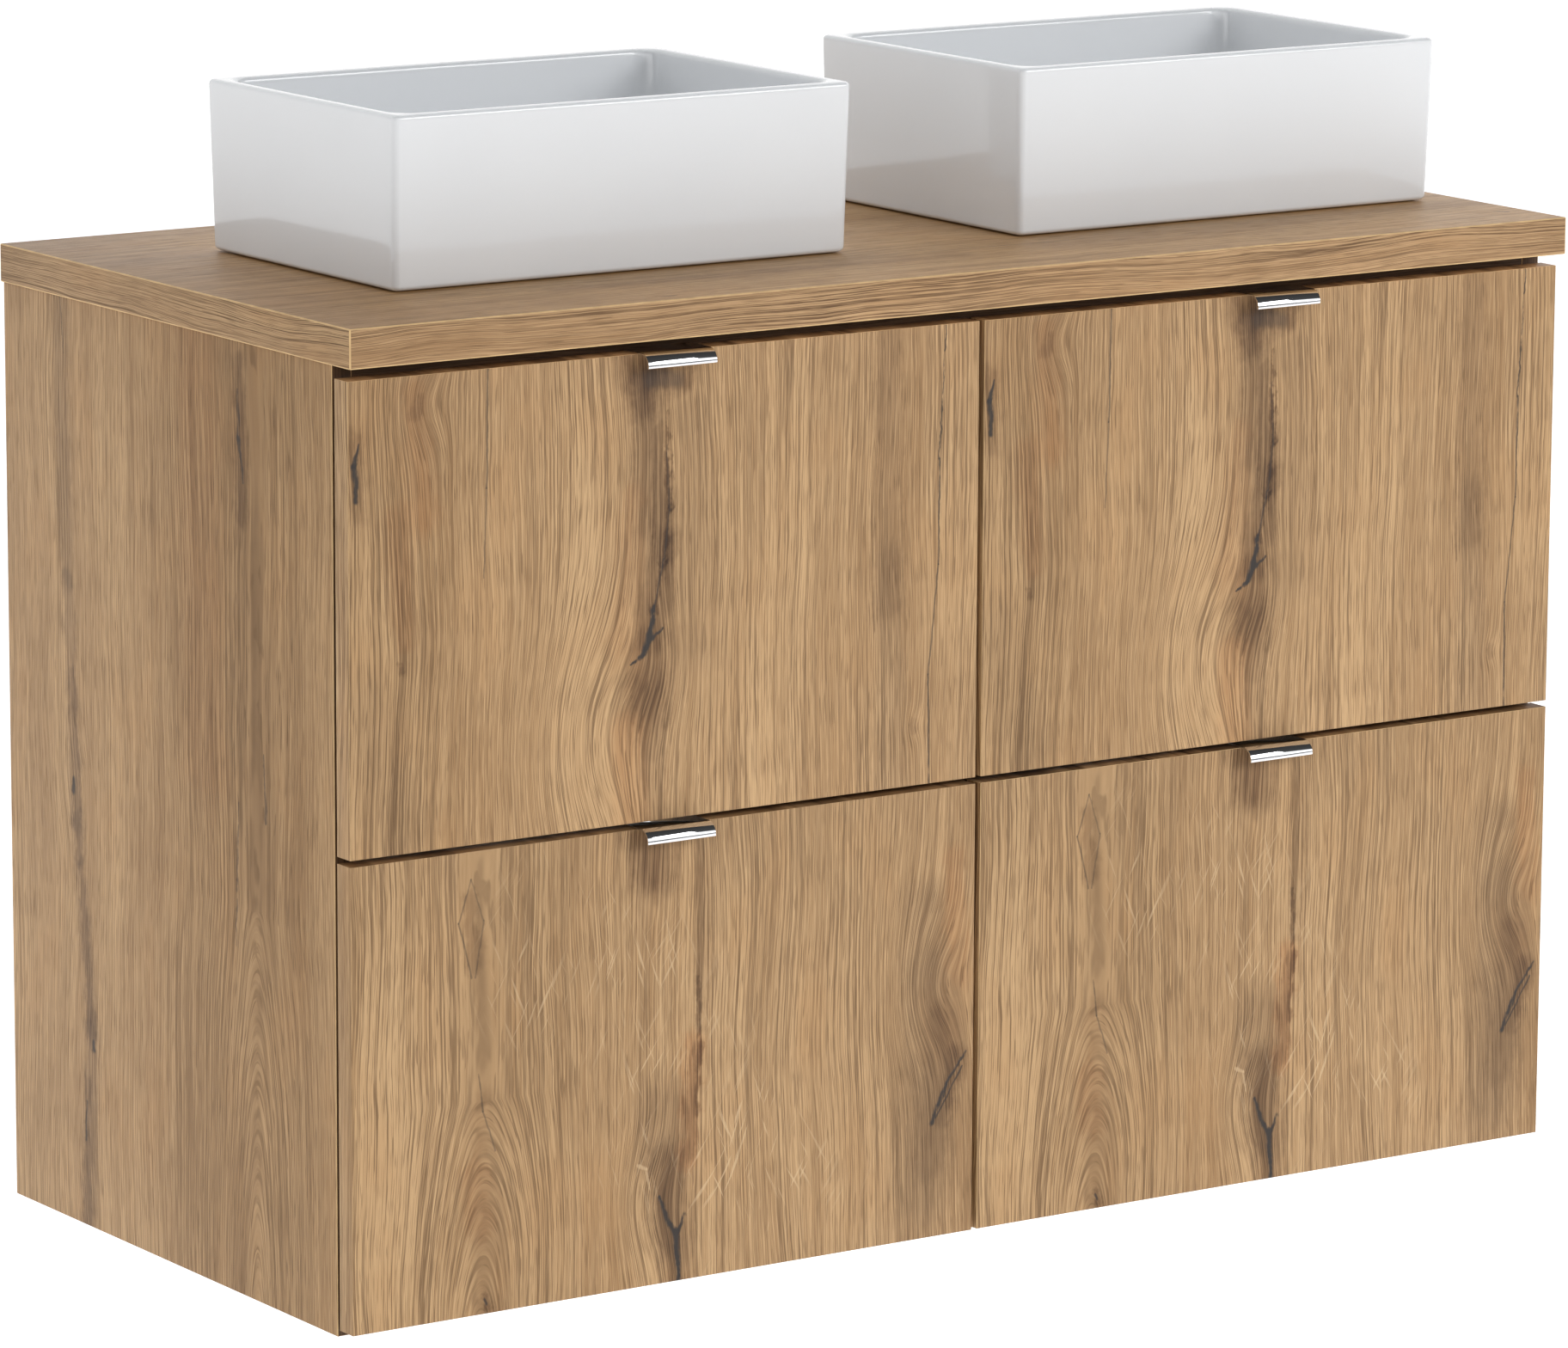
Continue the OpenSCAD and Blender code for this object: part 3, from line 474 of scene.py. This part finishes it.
SIDE_MARKS = on_side([
    # painted shade: the side panel is darkened towards its front edge, where less light falls
    (SHADE, 0.70, -0.10, 0.74, 1.10, (190, 190), 0.90),
    (RED, 0.60, 0.00, 0.62, 0.45, (50, 50), 0.35),
    (BROWN, 0.74, 0.00, 0.76, 0.55, (44, 50), 0.25),
    (GREY, 0.180, 0.00, 0.195, 0.30, (22, 18), 0.75),
    (GREY, 0.195, 0.30, 0.215, 0.56, (14, 18), 0.90),
    (BROWN, 0.205, 0.40, 0.220, 0.60, (9, 10), 0.65),
    (GREY, 0.215, 0.56, 0.255, 0.78, (16, 16), 0.85),
    (BROWN, 0.225, 0.60, 0.255, 0.80, (8, 9), 0.50),
    (GREY, 0.255, 0.78, 0.235, 1.02, (18, 18), 0.90),
    (BROWN, 0.240, 0.84, 0.232, 1.00, (8, 10), 0.55),
    (BROWN, 0.730, 0.02, 0.735, 0.18, (14, 16), 0.60),
    (BLACK, 0.725, 0.05, 0.728, 0.10, (1.8, 4.4), 0.60),
    (BLACK, 0.728, 0.10, 0.740, 0.145, (4.4, 1.6), 0.75),
    (BLACK, 0.795, 0.42, 0.798, 0.49, (1.8, 2.6), 0.60),
    (BLACK, 0.720, 0.48, 0.712, 0.56, (1.6, 2.4), 0.50),
    (BLACK, 0.712, 0.56, 0.708, 0.63, (2.2, 1.4), 0.50),
    (BLACK, 0.206, 0.515, 0.207, 0.527, (5.0, 5.6), 0.85),
    (BLACK, 0.258, 0.795, 0.259, 0.803, (4.0, 4.6), 0.85),
    (BLACK, 0.236, 0.865, 0.232, 0.905, (1.8, 2.6), 0.65),
    (BLACK, 0.182, 0.00, 0.190, 0.06, (1.4, 1.6), 0.45),
])
SIDE_SWELLS = [
    ((0.245 * SIDE_W, 0.52 * SIDE_H), (14, 40), -6),
    ((0.170 * SIDE_W, 0.52 * SIDE_H), (14, 40), 6),
]
SIDE_HEARTS = [(0.775 * SIDE_W, 1.12 * SIDE_H, 0.12, 50.0)]
TOP_MARKS = [
    # painted shade: the countertop's left end is darkened against its brighter right part
    (SHADE, (-60, -20), (640, -20), (240, 240), 1.0),
    (BROWN, (470, 250), (474, 640), (16, 22), 0.35),
    (BLACK, (548, 300), (549, 312), (2.0, 2.4), 0.6),
    (BLACK, (505, 1180), (512, 1188), (3.0, 3.6), 0.7),
    (BROWN, (390, 900), (396, 1210), (8, 10), 0.35),
    (BLACK, (452, 620), (455, 780), (1.2, 1.2), 0.45),
]

# brightens and warms the countertop decor; the brightening is partly painted sheen, standing in for the
# bright grazing reflection on its top
TOP_TONE_AND_SHEEN = rgb(1.12, 1.07, 0.98)
# the light line's colour: partly an edge-band seam, partly painted highlight
SEAM_AND_HIGHLIGHT_COLOUR = rgb(0.700, 0.480, 0.235)


def make_seam_and_highlight():
    """The thin light line along the eased edges: partly a glued edge band's seam, partly a painted highlight
    where the edges catch the light.
    """
    g = Graph("edge_seam_and_highlight")
    place = g.node("ShaderNodeTexCoord").outputs["Object"]
    worn = g.noise(place, scale=60.0, detail=3.0)
    grit = g.noise(place, scale=900.0, detail=1.0)
    colour = g.mix(g.smooth(worn, 0.3, 0.7), SEAM_AND_HIGHLIGHT_COLOUR, rgb(0.56, 0.37, 0.18))
    return g.finish(colour, g.math("MULTIPLY_ADD", grit, 0.2, 0.5), grit, 0.05, Specular_IOR_Level=0.3)


def make_board():
    """Grey-brown melamine with a fine cloudy grain."""
    g = Graph("drawer_melamine")
    place = g.node("ShaderNodeTexCoord").outputs["Object"]
    drift = g.noise(place, scale=5.0, detail=3.0)
    long_way = g.vector("MULTIPLY", place, Vector((1.0, 0.06, 1.0)))
    fibre = g.noise(long_way, scale=420.0, detail=2.0, rough=0.7)
    speck = g.noise(place, scale=1500.0, detail=1.0)
    colour = g.mix(drift, rgb(0.27, 0.25, 0.23), rgb(0.37, 0.35, 0.33))
    colour = g.mix(g.times(g.smooth(fibre, 0.45, 0.75), 0.45), colour, rgb(0.20, 0.18, 0.165))
    height = g.add(g.times(fibre, 0.7), g.times(speck, 0.3))
    return g.finish(colour, g.math("MULTIPLY_ADD", speck, 0.2, 0.42), height, 0.08)


def make_ceramic():
    """White glaze, slightly uneven, with a faint cool pooling."""
    g = Graph("white_glaze")
    place = g.node("ShaderNodeTexCoord").outputs["Object"]
    swim = g.noise(place, scale=9.0, detail=1.0)
    peel = g.noise(place, scale=130.0, detail=2.0)
    colour = g.mix(swim, rgb(0.748, 0.768, 0.792), rgb(0.786, 0.804, 0.824))
    height = g.add(swim, g.times(peel, 0.02))
    return g.finish(colour, g.math("MULTIPLY_ADD", peel, 0.05, 0.07), height, 0.5, Coat_Weight=0.5,
                    Coat_Roughness=0.04, Specular_IOR_Level=0.5)


def make_chrome():
    """Polished chrome with faint polishing marks and a little haze."""
    g = Graph("polished_chrome")
    place = g.node("ShaderNodeTexCoord").outputs["Object"]
    haze = g.noise(place, scale=45.0, detail=3.0)
    marks = g.noise(g.vector("MULTIPLY", place, Vector((0.05, 1.0, 1.0))), scale=2600.0, detail=1.0)
    colour = g.mix(haze, rgb(0.80, 0.81, 0.83), rgb(0.88, 0.88, 0.89))
    rough = g.math("MULTIPLY_ADD", haze, 0.04, g.math("MULTIPLY_ADD", marks, 0.04, 0.02))
    return g.finish(colour, rough, haze, 0.02, Metallic=1.0)


def make_steel():
    """Bright zinc plate with a mottled bloom and rolling marks."""
    g = Graph("zinc_plate")
    place = g.node("ShaderNodeTexCoord").outputs["Object"]
    bloom = g.noise(place, scale=70.0, detail=4.0, rough=0.65)
    rolled = g.noise(g.vector("MULTIPLY", place, Vector((1.0, 0.03, 1.0))), scale=1400.0, detail=1.0)
    cells = g.node("ShaderNodeTexVoronoi", (place,))
    cells.inputs["Scale"].default_value = 320.0
    colour = g.mix(bloom, rgb(0.46, 0.48, 0.51), rgb(0.70, 0.71, 0.72))
    colour = g.mix(0.18, colour, cells.outputs["Color"], blend="OVERLAY")
    rough = g.math("MULTIPLY_ADD", bloom, 0.25, g.math("MULTIPLY_ADD", rolled, 0.1, 0.2))
    return g.finish(colour, rough, rolled, 0.02, Metallic=0.95)


def make_rubber():
    """Dark rubber with a dusty bloom."""
    g = Graph("dark_rubber")
    place = g.node("ShaderNodeTexCoord").outputs["Object"]
    dust = g.noise(place, scale=90.0, detail=3.0)
    grit = g.noise(place, scale=1100.0, detail=2.0)
    colour = g.mix(g.smooth(dust, 0.35, 0.75), rgb(0.018, 0.018, 0.018), rgb(0.06, 0.058, 0.055))
    return g.finish(colour, g.math("MULTIPLY_ADD", grit, 0.2, 0.6), grit, 0.06)


def make_core():
    """Bare chipboard inside a bore."""
    g = Graph("chipboard_core")
    place = g.node("ShaderNodeTexCoord").outputs["Object"]
    chips = g.node("ShaderNodeTexVoronoi", (place,))
    chips.inputs["Scale"].default_value = 520.0
    grit = g.noise(place, scale=800.0, detail=2.0)
    colour = g.mix(grit, rgb(0.34, 0.24, 0.14), rgb(0.55, 0.42, 0.27))
    colour = g.mix(0.3, colour, chips.outputs["Color"], blend="SOFT_LIGHT")
    return g.finish(colour, g.math("MULTIPLY_ADD", grit, 0.1, 0.8), chips.outputs["Distance"], 0.3)


# ---- Pieces made from the CAD solids ----

WELD = 0.01 * MM                     # vertices closer than this are one
FLAT_ANGLE = math.radians(0.5)       # faces that meet at less than this are one flat face
SHARP_ANGLE = math.radians(30)       # edges sharper than this are eased
LOOKS_DOWN = -0.1                    # z of a direction that points clearly down

def cad_mesh(node):
    """A bmesh of the CAD node's solids, with whole faces instead of triangles."""
    bm = bmesh.new()
    bm.from_mesh(frame["nodes"][node].data)
    bmesh.ops.remove_doubles(bm, verts=bm.verts, dist=WELD)
    bmesh.ops.dissolve_limit(bm, angle_limit=FLAT_ANGLE, verts=bm.verts, edges=bm.edges)
    return bm


def body_of(node):
    return frame["nodes"][node]["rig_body"]


def placed(name, bm, node, finishes, smooth_angle=30):
    """Turns a bmesh into a piece that stands for the node."""
    mesh = bpy.data.meshes.new(name)
    bm.normal_update()
    bm.to_mesh(mesh)
    bm.free()
    for finish in finishes:
        mesh.materials.append(finish)
    piece = bpy.data.objects.new(name, mesh)
    scene.collection.objects.link(piece)
    mesh.polygons.foreach_set("use_smooth", [True] * len(mesh.polygons))
    mesh.set_sharp_from_angle(angle=math.radians(smooth_angle))
    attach(piece, body_of(node))
    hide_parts(node)
    return piece


def softened(node, finishes, width, choose=None, seam_highlight=None, rounds=2, lower_seam_highlight=False):
    """The node's own solids with their sharp edges eased by width millimetres. choose gives a flat face's
    material number from its direction and middle, and seam_highlight is the material number of the eased
    edges, a light line that is partly painted highlight, which the lower ones only take with
    lower_seam_highlight."""
    bm = cad_mesh(node)
    if choose:
        for face in bm.faces:
            face.material_index = choose(face.normal, face.calc_center_median())
    sharp = [e for e in bm.edges if len(e.link_faces) == 2 and e.calc_face_angle(0) > SHARP_ANGLE]
    bmesh.ops.bevel(bm, geom=sharp, offset=width * MM, offset_type="OFFSET", segments=rounds, profile=0.5,
                    affect="EDGES", clamp_overlap=True, material=-1 if seam_highlight is None else seam_highlight)
    for face in bm.faces:
        face.normal_update()
        # the light line, partly painted highlight, is kept off the downward-facing eased edges
        lower = face.normal.z < LOOKS_DOWN and not lower_seam_highlight
        if seam_highlight is not None and face.material_index == seam_highlight and lower:
            face.material_index = 0
    bmesh.ops.triangulate(bm, faces=[f for f in bm.faces if len(f.verts) > 4])
    return placed(node + "_piece", bm, node, finishes, 32)


# ---- Basins ----

WALL_DRAW = 0.7 * MM      # most that a wall draws in
RIM_SAG = 0.35 * MM       # most that a rim sinks
DRAIN_CLEAR = 60 * MM     # the floor stays true this far round the drain
FOOT_CLEAR = 4 * MM       # and the foot up to this height

def rounded_ring(half_x, half_y, corner, z, corner_steps=8, side_steps=10):
    """Points round a rectangle with rounded corners."""
    corners = []
    for quarter, (sx, sy) in enumerate(((1, 1), (-1, 1), (-1, -1), (1, -1))):
        middle = Vector((sx * (half_x - corner), sy * (half_y - corner), z))
        arc = []
        for step in range(corner_steps + 1):
            turn = (quarter + step / corner_steps) * math.pi / 2
            arc.append(middle + corner * Vector((math.cos(turn), math.sin(turn), 0)))
        corners.append(arc)
    points = []
    for quarter, arc in enumerate(corners):
        points.extend(arc)
        following = corners[(quarter + 1) % 4][0]
        for step in range(1, side_steps):
            points.append(arc[-1].lerp(following, step / side_steps))
    return points


def round_ring(pattern, radius, z):
    """The pattern's points moved onto a circle."""
    points = []
    for point in pattern:
        turn = math.atan2(point.y, point.x)
        points.append(Vector((radius * math.cos(turn), radius * math.sin(turn), z)))
    return points


def basin_rings(half_x, half_y, foot, rim):
    """Rings from the drain hole's lower edge out round the foot, up the wall, over the rim and down."""
    draft = (2 * MM, 5 * MM)
    height = rim - foot
    wall = 12 * MM
    floor = foot + 14 * MM
    foot_round = 5 * MM
    rim_round = 4.2 * MM
    bowl_round = 17 * MM
    outer_corner = 6.4 * MM
    bowl_corner = 20 * MM
    drain = 23 * MM

    def outside(z, inset):
        share = 1 - (z - foot) / height
        shrink = max(1.6 * MM, outer_corner - 0.55 * inset)
        return rounded_ring(half_x - draft[0] * share - inset, half_y - draft[1] * share - inset, shrink, z)

    def inside(z, inset):
        share = (rim - z) / (rim - floor)
        slope = (draft[0] + draft[1]) * share
        turn_r = bowl_corner + 5 * MM * share - 0.4 * inset
        return rounded_ring(half_x - wall - slope - inset, half_y - wall - slope - inset, turn_r, z)

    rings = [outside(foot, foot_round + 6 * MM)]
    for step in range(7):
        turn = step / 6 * math.pi / 2
        rings.append(outside(foot + foot_round * (1 - math.cos(turn)), foot_round * (1 - math.sin(turn))))
    for share in (0.15, 0.35, 0.55, 0.75, 0.9):
        rings.append(outside(foot + foot_round + share * (height - foot_round - rim_round), 0))
    for step in range(6):
        turn = step / 5 * math.pi / 2
        rings.append(outside(rim - rim_round * (1 - math.sin(turn)), rim_round * (1 - math.cos(turn))))
    for step in range(6):
        turn = step / 5 * math.pi / 2
        rings.append(inside(rim - rim_round * (1 - math.cos(turn)), -rim_round * (1 - math.sin(turn))))
    for share in (0.12, 0.3, 0.5, 0.7, 0.88):
        rings.append(inside(rim - rim_round - share * (rim - floor - rim_round - bowl_round), 0))
    for step in range(7):
        turn = step / 6 * math.pi / 2
        rings.append(inside(floor + bowl_round * (1 - math.sin(turn)), bowl_round * (1 - math.cos(turn))))
    edge = rings[-1]
    circle = round_ring(edge, drain, floor)
    for share in (0.3, 0.6, 0.85):
        rings.append([a.lerp(b, share) for a, b in zip(edge, circle)])
    rings.append(circle)
    rings.append(round_ring(edge, drain, foot))
    return rings


def make_basin(side):
    node = "basin_" + side
    low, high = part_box(node)
    middle = (low + high) / 2
    middle.z = 0
    rings = basin_rings((high.x - low.x) / 2, (high.y - low.y) / 2, low.z, high.z)
    bm = bmesh.new()
    made = []
    for ring in rings:
        row = []
        for point in ring:
            spot = point + middle
            reach = Vector((point.x, point.y, 0))
            if reach.length > DRAIN_CLEAR and point.z > low.z + FOOT_CLEAR:
                # fired clay is never quite flat: the walls draw in by a fraction of a millimetre
                draw = 0.5 + 0.5 * noise.noise(spot * 14)
                spot = spot - reach.normalized() * draw * WALL_DRAW
                spot.z -= (0.5 + 0.5 * noise.noise(spot * 9 + Vector((5, 5, 5)))) * RIM_SAG
            row.append(bm.verts.new(spot))
        made.append(row)
    count = len(made[0])
    for lower, upper in zip(made, made[1:] + made[:1]):
        for index in range(count):
            following = (index + 1) % count
            bm.faces.new((lower[index], lower[following], upper[following], upper[index]))
    bmesh.ops.recalc_face_normals(bm, faces=bm.faces)
    piece = placed(node + "_glazed", bm, node, [CERAMIC], 60)
    smooth = piece.modifiers.new("rounding", "SUBSURF")
    smooth.levels = 1
    smooth.render_levels = 1
    return piece


# ---- Putting it together ----

make_camera()
make_light("key_light", place=(2.6, -5.2, 2.3), aim=(0.1, -0.4, -0.1), size=(3.0, 2.2), watts=102)
make_light("fill_light", place=(-5.5, -2.6, 1.2), aim=(-0.3, -0.3, -0.2), size=(3.0, 2.5), watts=17)

SEAM_AND_HIGHLIGHT = make_seam_and_highlight()
BOARD = make_board()
CERAMIC = make_ceramic()
CHROME = make_chrome()
STEEL = make_steel()
RUBBER = make_rubber()
CORE = make_core()
RAIL_OAK = oak("oak_rail", (0, 1, 1), X, (0, 0, 0), 95.0, rough=0.52)
DEEP_OAK = oak("oak_deep", X, Y, (0, 0, 0), 97.0, rough=0.52)
SIDE_TOP = (0, 0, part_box("side_panel_left")[1].z)
TOP_LEFT = (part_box("countertop")[0].x, 0, 0)
SIDE_OAK = oak("oak_side", (0, -1, 0), (0, 0, -1), SIDE_TOP, 20.0, SIDE_MARKS, SIDE_SWELLS, SIDE_HEARTS,
               lines=0.8)
TOP_OAK = oak("oak_countertop", (0, -1, 0), X, TOP_LEFT, 50.0, TOP_MARKS, tone=TOP_TONE_AND_SHEEN, rough=0.46,
              lines=0.6)
BAND_X = oak("oak_band_across", Z, X, (0, 0, 0), 60.0, tone=rgb(0.92, 0.90, 0.90), lines=1.3, fine=1.7)
BAND_Y = oak("oak_band_deep", Z, Y, (0, 0, 0), 65.0, tone=rgb(0.86, 0.86, 0.86), lines=1.3, fine=1.7)
BAND_Z = oak("oak_band_up", (1, 1, 0), Z, (0, 0, 0), 70.0, lines=1.2)
# painted shade: the front edges of the carcass boards and rails, deep in the gaps round the fronts, are
# darkened to stand in for the shade there
GAP_SHADE_TONE = rgb(0.20, 0.16, 0.13)
GAP_SHADE_UP = oak("painted_gap_shade_up", (1, 1, 0), Z, (0, 0, 0), 72.0, tone=GAP_SHADE_TONE)
GAP_SHADE_ACROSS = oak("painted_gap_shade_across", Z, X, (0, 0, 0), 74.0, tone=GAP_SHADE_TONE)


FACING = 0.9              # a direction's share along an axis, above which a face looks along it
NEAR_FRONT = -0.5         # y in metres: a face with a lower one is a front edge
NEAR_SIDE = 0.6           # x in metres: a face further out is an end of the countertop
NEAR_WALL = -0.001        # y in metres: a face with a higher one is a back edge


def top_face(normal, middle):
    """Countertop: 0 for the decor faces, 1 and 2 for the edge bands, 3 inside the waste holes."""
    if abs(normal.z) > FACING:
        return 0
    if middle.y > NEAR_FRONT and abs(middle.x) < NEAR_SIDE:
        return 2 if middle.y > NEAR_WALL else 3
    return 1 if abs(normal.y) > FACING else 2


def upright_face(normal, middle):
    """An upright board: 1 for its front edge, which takes painted shade, 2 for the level edges, 3 for the
    back edge, 0 otherwise.
    """
    if abs(normal.z) > FACING:
        return 2
    if abs(normal.x) > FACING:
        return 0
    return 1 if normal.y < 0 else 3


def front_face(normal, middle):
    """A drawer front: 0 for the two broad faces, 1 for the upright edges, 2 for the level edges."""
    if abs(normal.z) > FACING:
        return 2
    return 0 if abs(normal.y) > FACING else 1


def level_face(normal, middle):
    """A level board or rail: 1 for its front edge, which takes painted shade, 0 for the rest."""
    return 1 if normal.y < -FACING and middle.y < NEAR_FRONT else 0


# how far each piece's sharp edges are eased, in millimetres
TOP_EASE = 1.1
BOARD_EASE = 0.6
FRONT_EASE = 0.9
MELAMINE_EASE = 0.5
HANDLE_EASE = 0.35
STEEL_EASE = 0.3
SMALL_EASE = 0.2          # screws and rubber
FITTING_EASE = 0.8        # traps and backnuts
WASTE_EASE = 0.6
PLUG_EASE = 1.2
TUBE_EASE = 0.4


softened("countertop", [TOP_OAK, BAND_X, BAND_Y, CORE, SEAM_AND_HIGHLIGHT], TOP_EASE, top_face,
         seam_highlight=4, rounds=3, lower_seam_highlight=True)
for side in SIDES:
    softened("side_panel_" + side, [SIDE_OAK, GAP_SHADE_UP, BAND_Y, BAND_Z, SEAM_AND_HIGHLIGHT], BOARD_EASE,
             upright_face, seam_highlight=4)
softened("centre_divider", [SIDE_OAK, GAP_SHADE_UP, BAND_Y, BAND_Z], BOARD_EASE, upright_face)
softened("bottom_panel", [DEEP_OAK, GAP_SHADE_ACROSS], BOARD_EASE, level_face)
for node in ("top_rail_front", "top_rail_rear", "back_rail_upper", "back_panel_lower"):
    softened(node, [RAIL_OAK, GAP_SHADE_ACROSS], BOARD_EASE, level_face)

for corner in CORNERS:
    low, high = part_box(corner + "_front")
    upper = corner.startswith("upper")
    decor = oak("oak_" + corner, X, (0, 0, -1), (low.x, 0, high.z), 10.0 if upper else 30.0,
                UPPER_MARKS if upper else LOWER_MARKS, UPPER_SWELLS if upper else LOWER_SWELLS,
                () if upper else LOWER_HEARTS,
                None if upper else ((210, 100), (400, 340), (130, 130)))
    softened(corner + "_front", [decor, BAND_Z, BAND_X, SEAM_AND_HIGHLIGHT], FRONT_EASE, front_face,
             seam_highlight=3, rounds=3)
    for part in ("sides", "back", "bottom"):
        softened(corner + "_" + part, [BOARD], MELAMINE_EASE)
    if upper:
        softened(corner + "_surround", [BOARD], MELAMINE_EASE)
    softened(corner + "_handle", [CHROME], HANDLE_EASE)
    softened(corner + "_screws", [STEEL], SMALL_EASE)
    softened(corner + "_slides", [STEEL], STEEL_EASE)
    softened(corner + "_middles", [STEEL], STEEL_EASE)

for node in ("cam_fasteners", "hanging_brackets", "wall_plates", "runner_rails"):
    softened(node, [STEEL], STEEL_EASE)
for node in ("front_bumpers", "basin_seals", "waste_washers"):
    softened(node, [RUBBER], SMALL_EASE)
for side in SIDES:
    make_basin(side)
    softened("waste_" + side, [CHROME], WASTE_EASE)
    softened("plug_" + side, [CHROME], PLUG_EASE, rounds=3)
    softened("trap_" + side, [CHROME], FITTING_EASE)
softened("waste_nuts", [STEEL], FITTING_EASE)
softened("outlet_tubes", [CHROME], TUBE_EASE)


def make_floor():
    """A wide pale floor, well below the cabinet, which hangs on a wall."""
    half = 40.0
    level = -1.25
    mesh = bpy.data.meshes.new("floor")
    spots = [(-half, -half, level), (half, -half, level), (half, half, level), (-half, half, level)]
    mesh.from_pydata(spots, [], [(0, 1, 2, 3)])
    g = Graph("pale_floor")
    place = g.node("ShaderNodeTexCoord").outputs["Object"]
    drift = g.noise(place, scale=1.5, detail=2.0)
    colour = g.mix(drift, rgb(0.94, 0.94, 0.94), rgb(0.97, 0.97, 0.97))
    shader = g.node("ShaderNodeBsdfPrincipled")
    g.put(shader.inputs["Base Color"], colour)
    shader.inputs["Roughness"].default_value = 0.9
    shader.inputs["Specular IOR Level"].default_value = 0.0
    shader.inputs["Emission Color"].default_value = rgb(1, 1, 1)
    shader.inputs["Emission Strength"].default_value = 0.5
    out = g.node("ShaderNodeOutputMaterial")
    g.put(out.inputs["Surface"], shader.outputs[0])
    mesh.materials.append(g.material)
    floor = bpy.data.objects.new("floor", mesh)
    scene.collection.objects.link(floor)


def make_world():
    """Soft white surroundings with a dark strip ahead and a dark ceiling, and brighter on the right."""
    world = bpy.data.worlds.new("studio")
    scene.world = world
    world.use_nodes = True
    g = Graph("studio", world.node_tree)
    direction = g.node("ShaderNodeTexCoord").outputs["Generated"]
    ahead = g.vector("DOT_PRODUCT", direction, Vector((0, -1, 0)))
    above = g.vector("DOT_PRODUCT", direction, Vector(Z))
    round_x = g.math("ARCTAN2", above, ahead)
    ramp = g.node("ShaderNodeValToRGB", (g.math("MULTIPLY_ADD", round_x, 0.5 / math.pi, 0.5),))
    # (share of a turn round X, from the wall side through below, the front and above; brightness)
    stops = ((0.0, 0.95), (0.488, 1.00), (0.498, 0.15), (0.518, 0.15), (0.530, 1.55), (0.570, 1.55),
             (0.598, 0.06), (0.765, 0.04), (0.785, 1.60), (1.0, 1.25))
    while len(ramp.color_ramp.elements) < len(stops):
        ramp.color_ramp.elements.new(0.5)
    for element, (spot, value) in zip(ramp.color_ramp.elements, stops):
        element.position = spot
        element.color = rgb(value, value, value)
    aside = g.vector("DOT_PRODUCT", direction, Vector((0.85, -0.5, 0)))
    strength = g.math("MULTIPLY_ADD", aside, 0.20, 0.92)
    shader = g.node("ShaderNodeBackground", (ramp.outputs[0], strength))
    out = g.node("ShaderNodeOutputWorld")
    g.put(out.inputs["Surface"], shader.outputs[0])


make_floor()
make_world()
